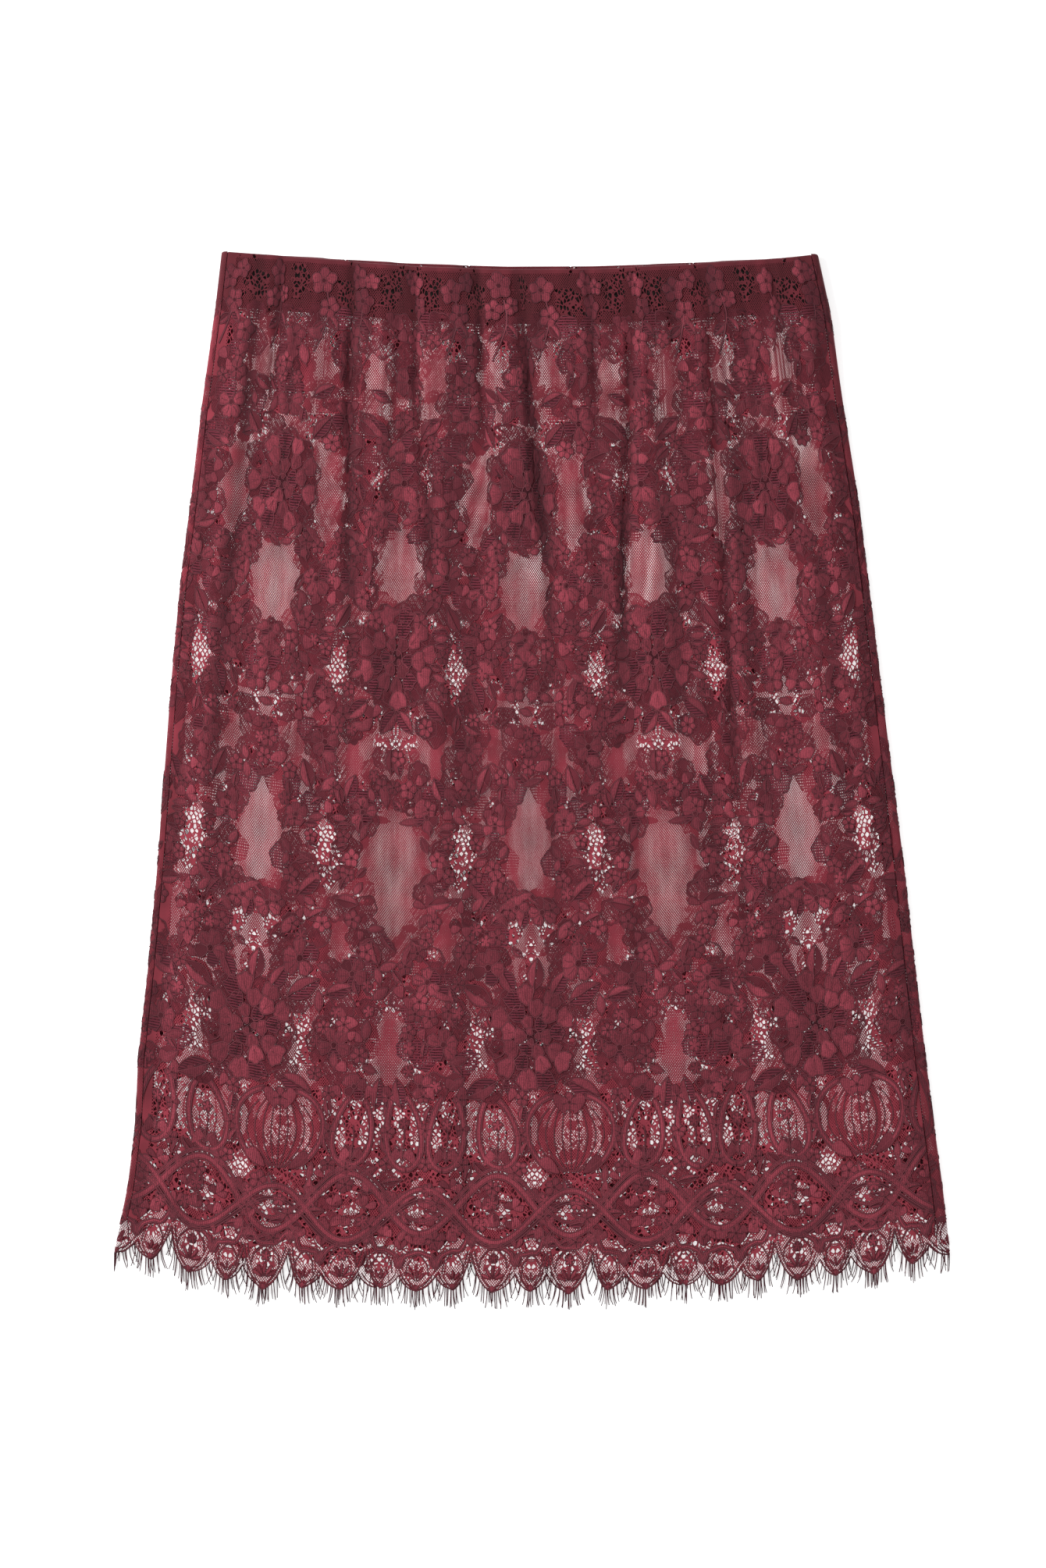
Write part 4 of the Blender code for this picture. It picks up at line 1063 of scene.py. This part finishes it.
# ------------------------------------------------------------------ materials
class Nodes:
    """Short names for building one material's nodes."""

    def __init__(self, name):
        self.material = bpy.data.materials.new(name)
        self.material.use_nodes = True
        self.tree = self.material.node_tree
        self.shader = self.tree.nodes["Principled BSDF"]
        self.output = self.tree.nodes["Material Output"]

    def node(self, kind, **settings):
        made = self.tree.nodes.new(kind)
        for key, value in settings.items():
            setattr(made, key, value)
        return made

    def link(self, source, target):
        self.tree.links.new(source, target)

    def math(self, operation, a, b=None, c=None, clamp=False):
        made = self.node("ShaderNodeMath", operation=operation, use_clamp=clamp)
        for i, value in enumerate((a, b, c)):
            if value is None:
                continue
            if isinstance(value, (int, float)):
                made.inputs[i].default_value = value
            else:
                self.link(value, made.inputs[i])
        return made.outputs[0]

    def ranged(self, value, a, b, c, d, soft=False):
        made = self.node("ShaderNodeMapRange", interpolation_type="SMOOTHSTEP" if soft else "LINEAR")
        self.link(value, made.inputs["Value"])
        for key, number in (("From Min", a), ("From Max", b), ("To Min", c), ("To Max", d)):
            made.inputs[key].default_value = number
        return made.outputs["Result"]

    def weave(self):
        uv = self.node("ShaderNodeUVMap", uv_map="weave")
        apart = self.node("ShaderNodeSeparateXYZ")
        self.link(uv.outputs[0], apart.inputs[0])
        return uv.outputs[0], apart.outputs[0], apart.outputs[1]

    def mirrored(self):
        """Cloth coordinates counted from the nearest axis of the pattern, so that both panels agree."""
        uv = self.node("ShaderNodeUVMap", uv_map="weave")
        apart = self.node("ShaderNodeSeparateXYZ")
        self.link(uv.outputs[0], apart.inputs[0])
        folded = self.math("PINGPONG", self.math("ADD", apart.outputs[0], 24.3 + 4 * REPEAT), REPEAT / 2)
        joined = self.node("ShaderNodeCombineXYZ")
        self.link(folded, joined.inputs[0])
        self.link(apart.outputs[1], joined.inputs[1])
        return joined.outputs[0], folded, apart.outputs[1]

    def specks(self):
        """Small scattered openings, which fall in the same places on both panels."""
        return self.noise(self.mirrored()[0], 0.085, 2.0, 0.62)

    def value(self, name):
        made = self.node("ShaderNodeAttribute", attribute_name=name)
        return made.outputs["Fac"]

    def noise(self, vector, scale, detail=2.0, rough=0.5):
        made = self.node("ShaderNodeTexNoise")
        made.inputs["Scale"].default_value = scale
        made.inputs["Detail"].default_value = detail
        made.inputs["Roughness"].default_value = rough
        self.link(vector, made.inputs["Vector"])
        return made.outputs["Fac"]

    def wave(self, value, pitch):
        return self.math("SINE", self.math("MULTIPLY", value, 2 * PI / pitch))

    def colour(self, factor, dark, light):
        made = self.node("ShaderNodeMix", data_type="RGBA")
        made.inputs[6].default_value = (*dark, 1.0)
        made.inputs[7].default_value = (*light, 1.0)
        self.link(factor, made.inputs[0])
        self.link(made.outputs[2], self.shader.inputs["Base Color"])
        return made

    def bump(self, height, strength, distance):
        made = self.node("ShaderNodeBump")
        made.inputs["Strength"].default_value = strength
        made.inputs["Distance"].default_value = distance
        self.link(height, made.inputs["Height"])
        self.link(made.outputs[0], self.shader.inputs["Normal"])

    def finish(self, roughness, sheen, tint=(1.0, 0.75, 0.8)):
        self.shader.inputs["Roughness"].default_value = roughness
        self.shader.inputs["Specular IOR Level"].default_value = 0.25
        self.shader.inputs["Sheen Weight"].default_value = sheen
        self.shader.inputs["Sheen Roughness"].default_value = 0.5
        self.shader.inputs["Sheen Tint"].default_value = (*tint, 1.0)
        return self.material


DEEP = (0.060, 0.007, 0.013)       # burgundy in the shade of a rib or a cord
BODY = (0.262, 0.039, 0.058)       # burgundy yarn in the light
NET_DARK = (0.075, 0.009, 0.014)
NET_LIGHT = (0.330, 0.039, 0.061)


def clothwork(name, strength=1.0):
    """Closely knitted filling of petals and leaves, with upright ribs and painted shade along its sunk edge."""
    n = Nodes(name)
    vector, u, v = n.weave()
    slow = n.noise(vector, 0.045, 3.0)
    fine = n.noise(vector, 0.9, 2.0, 0.7)
    wander = n.math("ADD", u, n.math("MULTIPLY", n.noise(vector, 0.12), 1.6))
    rib = n.ranged(n.wave(wander, 1.28), -1.0, 1.0, 0.0, 1.0)
    stitch = n.ranged(n.wave(v, 0.95), -1.0, 1.0, 0.0, 1.0)
    weave_mix = n.math("ADD", n.math("MULTIPLY", rib, 0.46), n.math("MULTIPLY", stitch, 0.18))
    level = n.math("ADD", weave_mix, n.ranged(fine, 0.3, 0.7, -0.26, 0.30))
    level = n.math("ADD", level, n.ranged(slow, 0.3, 0.7, 0.08, 0.48))
    # painted fold shade from the shade attribute, with each motif's own tone
    level = n.math("MULTIPLY", level, n.math("POWER", n.value("shade"), 1.5))
    # painted shade towards the outline, down to 0.14 of the colour at the edge
    level = n.math("MULTIPLY", level, n.ranged(n.value("rim"), 0.05, 0.65, 0.14, 1.0, True), clamp=True)
    if strength != 1.0:
        level = n.math("MULTIPLY", level, strength)
    n.colour(level, DEEP, (BODY[0] * 1.45, BODY[1] * 1.45, BODY[2] * 1.45))
    n.bump(n.math("ADD", rib, n.math("MULTIPLY", fine, 0.9)), 0.5, 0.0003)
    return n.finish(0.82, 0.12)


def half_stitch(name):
    """Slanted half-stitch ground of the shaded petals: see-through between its threads."""
    n = Nodes(name)
    vector, u, v = n.weave()
    slow = n.noise(vector, 0.06, 2.0)
    a = n.wave(n.math("ADD", u, n.math("MULTIPLY", v, 0.75)), 1.15)
    b = n.wave(n.math("SUBTRACT", u, n.math("MULTIPLY", v, 0.55)), 1.7)
    thread = n.math("MAXIMUM", n.ranged(a, -0.05, 0.15, 0.0, 1.0), n.ranged(b, 0.45, 0.7, 0.0, 1.0))
    level = n.math("MULTIPLY", n.ranged(a, -1.0, 1.0, 0.15, 0.85), n.ranged(slow, 0.3, 0.7, 0.60, 1.15))
    # painted fold shade from the shade attribute
    level = n.math("MULTIPLY", level, n.value("shade"), clamp=True)
    n.colour(level, (0.040, 0.005, 0.009), (0.270, 0.036, 0.057))
    gone = n.ranged(n.specks(), 0.575, 0.595, 1.0, 0.0)
    cover = n.math("MAXIMUM", n.math("MULTIPLY", thread, gone), n.ranged(n.value("rim"), 0.0, 0.4, 1.0, 0.0))
    n.link(cover, n.shader.inputs["Alpha"])
    n.bump(a, 0.25, 0.0001)
    return n.finish(0.85, 0.08)


def ladder(name):
    """Open bars across a petal, hung on thin upright threads."""
    n = Nodes(name)
    vector, u, v = n.weave()
    bar = n.wave(n.math("ADD", v, n.math("MULTIPLY", n.noise(vector, 0.25), 0.8)), 1.75)
    post = n.wave(u, 2.3)
    thread = n.math("MAXIMUM", n.ranged(bar, -0.25, 0.05, 0.0, 1.0), n.ranged(post, 0.86, 0.95, 0.0, 1.0))
    # the shade attribute adds the painted fold shade
    level = n.math("MULTIPLY", n.ranged(bar, -0.6, 1.0, 0.1, 0.85), n.value("shade"), clamp=True)
    n.colour(level, (0.045, 0.006, 0.011), (0.235, 0.035, 0.058))
    n.link(n.math("MAXIMUM", thread, n.ranged(n.value("rim"), 0.0, 0.6, 1.0, 0.0)), n.shader.inputs["Alpha"])
    n.bump(bar, 0.4, 0.00015)
    return n.finish(0.85, 0.08)


def cord_thread(name):
    """The twisted cord laid round the motifs, painted lighter along its crest and darker on its flanks: painted
    highlight and painted shade.
    """
    n = Nodes(name)
    vector, u, v = n.weave()
    twist = n.wave(n.math("ADD", u, v), 0.9)
    # painted highlight on the crest and painted shade on the flanks, from rim
    level = n.math("ADD", n.ranged(twist, -1.0, 1.0, -0.1, 0.15), n.ranged(n.value("rim"), 0.1, 1.0, 0.0, 0.80))
    # painted fold shade from the shade attribute
    level = n.math("MULTIPLY", level, n.value("shade"), clamp=True)
    n.colour(level, (0.018, 0.002, 0.005), (0.315, 0.057, 0.080))
    n.bump(twist, 0.3, 0.0001)
    return n.finish(0.7, 0.15)


def net(name, cover=0.35):
    """Fine net of crossing threads, and open net with large uneven holes where open_net is high."""
    n = Nodes(name)
    vector, u, v = n.mirrored()
    drift = n.math("MULTIPLY", n.noise(vector, 0.20, 1.0), 0.8)
    across_one = n.math("ADD", n.math("MULTIPLY", u, 1 / 1.62), n.math("MULTIPLY", n.math("ADD", v, drift), 1 / 2.05))
    across_two = n.math("SUBTRACT", n.math("MULTIPLY", u, 1 / 1.62), n.math("MULTIPLY", n.math("ADD", v, drift), 1 / 2.05))
    a = n.math("ABSOLUTE", n.math("SUBTRACT", n.math("FRACT", across_one), 0.5))
    b = n.math("ABSOLUTE", n.math("SUBTRACT", n.math("FRACT", across_two), 0.5))
    near = n.math("MULTIPLY", n.math("MINIMUM", a, b), n.math("MULTIPLY", n.ranged(v, 12.0, 26.0, 1.45, 1.0), n.ranged(v, 656.0, 658.5, 1.0, 0.15)))
    streak = n.node("ShaderNodeVectorMath", operation="MULTIPLY")
    streak.inputs[1].default_value = (1.0, 0.22, 1.0)
    n.link(vector, streak.inputs[0])
    near = n.math("MULTIPLY", near, n.ranged(n.noise(streak.outputs[0], 0.11, 3.0), 0.32, 0.68, 0.80, 1.14))
    near = n.math("MULTIPLY", near, n.ranged(n.value("open_net"), -1.0, -0.7, 0.36, 1.0))
    near = n.math("MULTIPLY", near, n.ranged(n.value("open_net"), -0.6, -0.5, 1.06, 1.0))
    fine = n.ranged(near, cover / 2 - 0.02, cover / 2 + 0.02, 1.0, 0.0)
    cells = n.node("ShaderNodeTexVoronoi", feature="DISTANCE_TO_EDGE")
    cells.inputs["Scale"].default_value = 0.285
    cells.inputs["Randomness"].default_value = 0.66
    turned = n.node("ShaderNodeCombineXYZ")
    raised = n.math("MULTIPLY", v, 0.80)
    n.link(n.math("ADD", u, raised), turned.inputs[0])
    n.link(n.math("SUBTRACT", raised, u), turned.inputs[1])
    n.link(turned.outputs[0], cells.inputs["Vector"])
    wide = n.ranged(cells.outputs["Distance"], 0.098, 0.120, 1.0, 0.0)
    spot = n.node("ShaderNodeMix", data_type="FLOAT")
    opened = n.math("ADD", n.value("open_net"), n.ranged(n.specks(), 0.47, 0.67, 0.0, 0.9))
    opened = n.math("ADD", opened, n.ranged(n.noise(vector, 0.16, 2.0), 0.3, 0.7, -0.30, 0.25))
    n.link(n.ranged(opened, 0.50, 0.58, 0.0, 1.0), spot.inputs[0])
    n.link(fine, spot.inputs[2])
    n.link(wide, spot.inputs[3])
    slow = n.noise(vector, 0.05, 2.0)
    # each patch's own tone times the painted fold shade
    level = n.math("MULTIPLY", n.ranged(slow, 0.3, 0.7, 0.45, 1.0), n.value("shade"))
    # painted shade: the net is painted darker from v 619 up, over the waist elastic
    level = n.math("MULTIPLY", level, n.ranged(v, 619.0, 624.0, 1.0, 0.26), clamp=True)
    n.colour(level, NET_DARK, NET_LIGHT)
    n.link(spot.outputs[0], n.shader.inputs["Alpha"])
    return n.finish(0.8, 0.1)


def elastic_band(name):
    """Dark woven elastic with fine ribs along its length."""
    n = Nodes(name)
    where = n.node("ShaderNodeTexCoord").outputs["Object"]
    apart = n.node("ShaderNodeSeparateXYZ")
    n.link(where, apart.inputs[0])
    rib = n.wave(apart.outputs[1], 0.0021)
    cross = n.wave(apart.outputs[0], 0.0011)
    level = n.math("ADD", n.ranged(rib, -1.0, 1.0, 0.0, 0.6), n.ranged(cross, -1.0, 1.0, 0.0, 0.4))
    n.colour(level, (0.006, 0.004, 0.004), (0.026, 0.015, 0.015))
    n.bump(level, 0.5, 0.0002)
    return n.finish(0.9, 0.05)


def lash_thread(name):
    n = Nodes(name)
    where = n.node("ShaderNodeTexCoord").outputs["Object"]
    n.colour(n.noise(where, 180.0, 1.0), (0.028, 0.004, 0.008), (0.105, 0.012, 0.023))
    return n.finish(0.6, 0.05)


def seam_cloth(name):
    """Pressed allowance of doubled net, bound with close overlocking along its raw edge."""
    n = Nodes(name)
    vector, u, v = n.weave()
    slant = n.wave(n.math("ADD", v, n.math("MULTIPLY", u, 0.5)), 1.5)
    mesh = n.wave(n.math("ADD", u, v), 0.95)
    level = n.math("ADD", n.ranged(slant, -1.0, 1.0, 0.0, 0.5), n.ranged(mesh, -1.0, 1.0, 0.0, 0.3))
    n.colour(level, (0.026, 0.004, 0.007), (0.120, 0.016, 0.026))
    bound = n.ranged(u, 5.2, 5.6, 0.0, 1.0)
    n.link(n.math("MAXIMUM", n.ranged(mesh, -0.95, -0.85, 0.0, 1.0), bound), n.shader.inputs["Alpha"])
    n.bump(slant, 0.4, 0.0002)
    return n.finish(0.85, 0.05)


# ------------------------------------------------------------------ making the pieces
box_fine = collect_cords(collect_shapes(True), True)
box_coarse = collect_cords(collect_shapes(False), False)
lace_materials = [clothwork("lace_clothwork"), half_stitch("lace_half_stitch"), ladder("lace_bars"), cord_thread("lace_cord")]
front_net_material = net("lace_net_front", 0.40)
back_net_material = net("lace_net_back", 0.28)

front_ground = ground("front_net", False, front_net_material)
back_ground = ground("back_net", True, back_net_material)
pieces_of = {"front": [], "back": []}
for back, label in ((False, "front"), (True, "back")):
    for number, (low, high) in enumerate(((-5.0, 210.0), (210.0, 430.0), (430.0, 662.0))):
        points, tri, uv, kinds, shades, rims = laid(box_coarse if back else box_fine, back, low, high)
        piece = mesh_piece(f"{label}_motifs_{number + 1}", points, tri, lace_materials, uv, kinds, {"shade": shades, "rim": rims})
        pieces_of[label].append(piece)
        print(piece.name, len(tri))


def lashes(name, back, material):
    """Loose thread ends along the edge, fanning from each scallop, longest in the valleys."""
    chance = np.random.default_rng(31 if back else 29)
    points, faces, total = [], [], 0
    for k in range(-3, 4):
        for start, end, tip, before, after in MARKS:
            middle, half = (start + end) / 2.0, (end - start) / 2.0
            count = max(7, int(round((end - start) / 2.3)))
            for i in range(count):
                s = -1.0 + 2.0 * (i + 0.5) / count + chance.uniform(-0.05, 0.05)
                s = math.copysign(abs(s) ** 1.25, s)
                u = middle + half * s + k * REPEAT
                v = float(edge_height(u)) + 0.4
                f = float(f_of_u(MIRROR - u) if back else f_of_u(u))
                low, high = reach_at(np.array(f), np.array(v), back)
                if not low + 0.002 < f < high - 0.002:
                    continue
                deep = 11.0 + 3.6 * min((v - 0.4) / 14.0, 1.0) + chance.uniform(-2.0, 1.3)
                if chance.random() < 0.12:
                    deep *= 0.6
                lean = 0.45 * s + chance.normal(0.0, 0.09)
                bend = chance.normal(0.0, 0.08)
                steps = np.linspace(0.0, 1.0, 5)
                sway = lean * steps + bend * steps ** 2
                us = u + deep * np.concatenate([[0.0], np.cumsum(np.sin(sway[1:]) / 4)])
                vs = v - deep * np.concatenate([[0.0], np.cumsum(np.cos(sway[1:]) / 4)])
                uc = u + 0 * us
                at = (place_back if back else place_front)(uc, np.full(5, v), 0.0)
                across_by = (us - u) * (-1.0 if back else 1.0)
                at[:, 0] += across_by
                at[:, 1] += vs - v
                at[:, 2] = np.maximum(at[0, 2] + 0.25 * chance.uniform(-1, 1) * steps - (0.0 if back else 0.6 * steps), 0.2)
                thick = 0.38 * (1.0 - 0.25 * steps)
                ring = []
                for corner in range(3):
                    a = 2 * PI * corner / 3 + 0.5
                    ring.append(at + np.stack([thick * math.cos(a), 0 * thick, thick * math.sin(a)], axis=1))
                points.append(np.stack(ring, axis=1).reshape(-1, 3))
                for j in range(4):
                    for corner in range(3):
                        a, b = total + 3 * j + corner, total + 3 * j + (corner + 1) % 3
                        faces += [(a, b, b + 3), (a, b + 3, a + 3)]
                faces += [(total + 12, total + 13, total + 14), (total + 2, total + 1, total)]
                total += 15
    return mesh_piece(name, np.vstack(points), faces, [material])


lash_material = lash_thread("lash_thread")
front_lashes = lashes("front_lashes", False, lash_material)
back_lashes = lashes("back_lashes", True, lash_material)


def elastic_ring(name, material):
    """The waist elastic: a flattened ring with fine gathers, between the outer and the inner lace."""
    inset = WALL / 2 + 0.3 + 0.5
    rows = np.linspace(0.0, 1.0, 13)
    columns = []
    across_steps = np.linspace(0.0, 1.0, 150)
    for t in across_steps:
        columns.append(("flat", t))
    for a in np.linspace(0.0, PI, 9)[1:-1]:
        columns.append(("right", a))
    for t in across_steps[::-1]:
        columns.append(("front", t))
    for a in np.linspace(0.0, PI, 9)[1:-1][::-1]:
        columns.append(("left", a))
    out = []
    for kind, t in columns:
        line_points = []
        for r in rows:
            if kind in ("flat", "front"):
                f = float(t)
            else:
                f = 1.0 if kind == "right" else 0.0
            x_top = left_at(330.0) + f * (right_at(330.0) - left_at(330.0))
            top = float(table_at(TOP_EDGE, x_top, 2 if kind == "flat" and 0.0 < f < 1.0 else 1))
            y = top - 2.1 - 32.9 * r
            left, right = float(left_at(y)), float(right_at(y))
            h = CASING_HALF
            x0, x1 = left + h + 0.5, right - h - 0.5
            if kind in ("flat", "front"):
                x = x0 + f * (x1 - x0)
                wave = 0.12 * math.sin(2 * PI * (x + 3 * math.sin(x / 23.0)) / 9.3)
                z = 0.5 + inset if kind == "flat" else 0.5 + 2 * h - inset
                line_points.append((x, y, z + wave))
            else:
                side = 1.0 if kind == "right" else -1.0
                centre = x1 if side > 0 else x0
                r_in = h - inset
                line_points.append((centre + side * r_in * math.sin(t), y, 0.5 + h - r_in * math.cos(t)))
        out.append(line_points)
    grid = np.array(out + out[:1])
    faces = grid_faces(len(out) + 1, len(rows))
    thing = mesh_piece(name, grid.reshape(-1, 3), faces, [material])
    solid = thing.modifiers.new("thickness", "SOLIDIFY")
    solid.thickness = 0.0009
    solid.offset = 0.0
    return thing


elastic = elastic_ring("waist_elastic_band", elastic_band("waist_elastic"))


def seam_strip(name, side, material):
    """A side seam's pressed allowance, with its bound edge, lying between the panels."""
    rows = np.linspace(289.0, -270.0, 260)
    steps = np.linspace(0.0, 1.0, 6)
    seam = seam_left_at(rows) if side < 0 else seam_right_at(rows)
    wobble = 0.35 * np.sin(rows / 9.0) + 0.25 * np.sin(rows / 3.7 + 1.0)
    grid, uv = [], []
    for t in steps:
        inward = -side
        x = seam + inward * (ALLOWANCE - 0.7 + wobble) * t
        z = 1.55 + 0.35 * np.sin(rows / 21.0 + 3 * t) * t + 0.25 * np.sin(PI * t)
        z = np.minimum(z, 2 * half_height(x, rows) + 0.2)
        grid.append(np.stack([x, rows, z], axis=1))
        uv.append(np.stack([np.full(len(rows), 7.3 * t), rows], axis=1))
    faces = grid_faces(len(steps), len(rows))
    return mesh_piece(name, np.array(grid).reshape(-1, 3), faces, [material], np.array(uv).reshape(-1, 2))


seam_material = seam_cloth("seam_allowance")
seam_left = seam_strip("seam_strip_left", -1.0, seam_material)
seam_right = seam_strip("seam_strip_right", 1.0, seam_material)

# ------------------------------------------------------------------ every piece under one body, and the solids they stand in for hidden
everything = [front_ground, back_ground, front_lashes, back_lashes, elastic, seam_left, seam_right]
everything += pieces_of["front"] + pieces_of["back"]
for thing in everything:
    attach(thing, "root")
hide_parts("front_panel")
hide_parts("back_panel")
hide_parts("waist_elastic")
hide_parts("seam_allowance_left")
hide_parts("seam_allowance_right")
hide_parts("lash_fringe_front")
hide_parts("lash_fringe_back")

# ------------------------------------------------------------------ floor, light and camera
floor_mesh = bpy.data.meshes.new("floor")
floor_mesh.from_pydata([(-3, -3, 0), (3, -3, 0), (3, 3, 0), (-3, 3, 0)], [], [(0, 1, 2, 3)])
floor = bpy.data.objects.new("floor", floor_mesh)
bpy.context.scene.collection.objects.link(floor)
floor.location.z = -0.0002
paper = bpy.data.materials.new("pale_floor")
paper.use_nodes = True
paper_shader = paper.node_tree.nodes["Principled BSDF"]
paper_shader.inputs["Base Color"].default_value = (0.86, 0.86, 0.86, 1.0)
paper_shader.inputs["Roughness"].default_value = 0.9
paper_shader.inputs["Emission Color"].default_value = (1.0, 1.0, 1.0, 1.0)
paper_shader.inputs["Emission Strength"].default_value = 0.55
floor_mesh.materials.append(paper)

world = bpy.data.worlds.new("studio") if bpy.context.scene.world is None else bpy.context.scene.world
bpy.context.scene.world = world
world.use_nodes = True
world.node_tree.nodes["Background"].inputs[0].default_value = (1.0, 1.0, 1.0, 1.0)
world.node_tree.nodes["Background"].inputs[1].default_value = 0.42


def soft_light(name, at, size, power, aim=(0.0, 0.0, 0.0)):
    data = bpy.data.lights.new(name, "AREA")
    data.shape = "RECTANGLE"
    data.size = size
    data.size_y = size
    data.energy = power
    thing = bpy.data.objects.new(name, data)
    bpy.context.scene.collection.objects.link(thing)
    thing.location = at
    thing.rotation_euler = (Vector(aim) - Vector(at)).to_track_quat("-Z", "Y").to_euler()
    return thing


soft_light("key", (-1.9, 1.0, 1.5), 0.7, 58.0)
soft_light("fill", (1.8, -0.8, 1.9), 1.6, 14.0)

camera_data = bpy.data.cameras.new("camera")
camera_data.lens = 36.0 * 3.0 / 1.0045
camera_data.sensor_width = 36.0
camera_data.clip_start = 0.05
camera_data.clip_end = 20.0
camera = bpy.data.objects.new("camera", camera_data)
bpy.context.scene.collection.objects.link(camera)
camera.location = (-0.00624, -0.00326, 3.004)
camera.rotation_euler = (0.0, 0.0, 0.0)
bpy.context.scene.camera = camera
bpy.context.scene.view_settings.view_transform = "Standard"
bpy.context.scene.view_settings.look = "None"
bpy.context.scene.cycles.transparent_max_bounces = 24
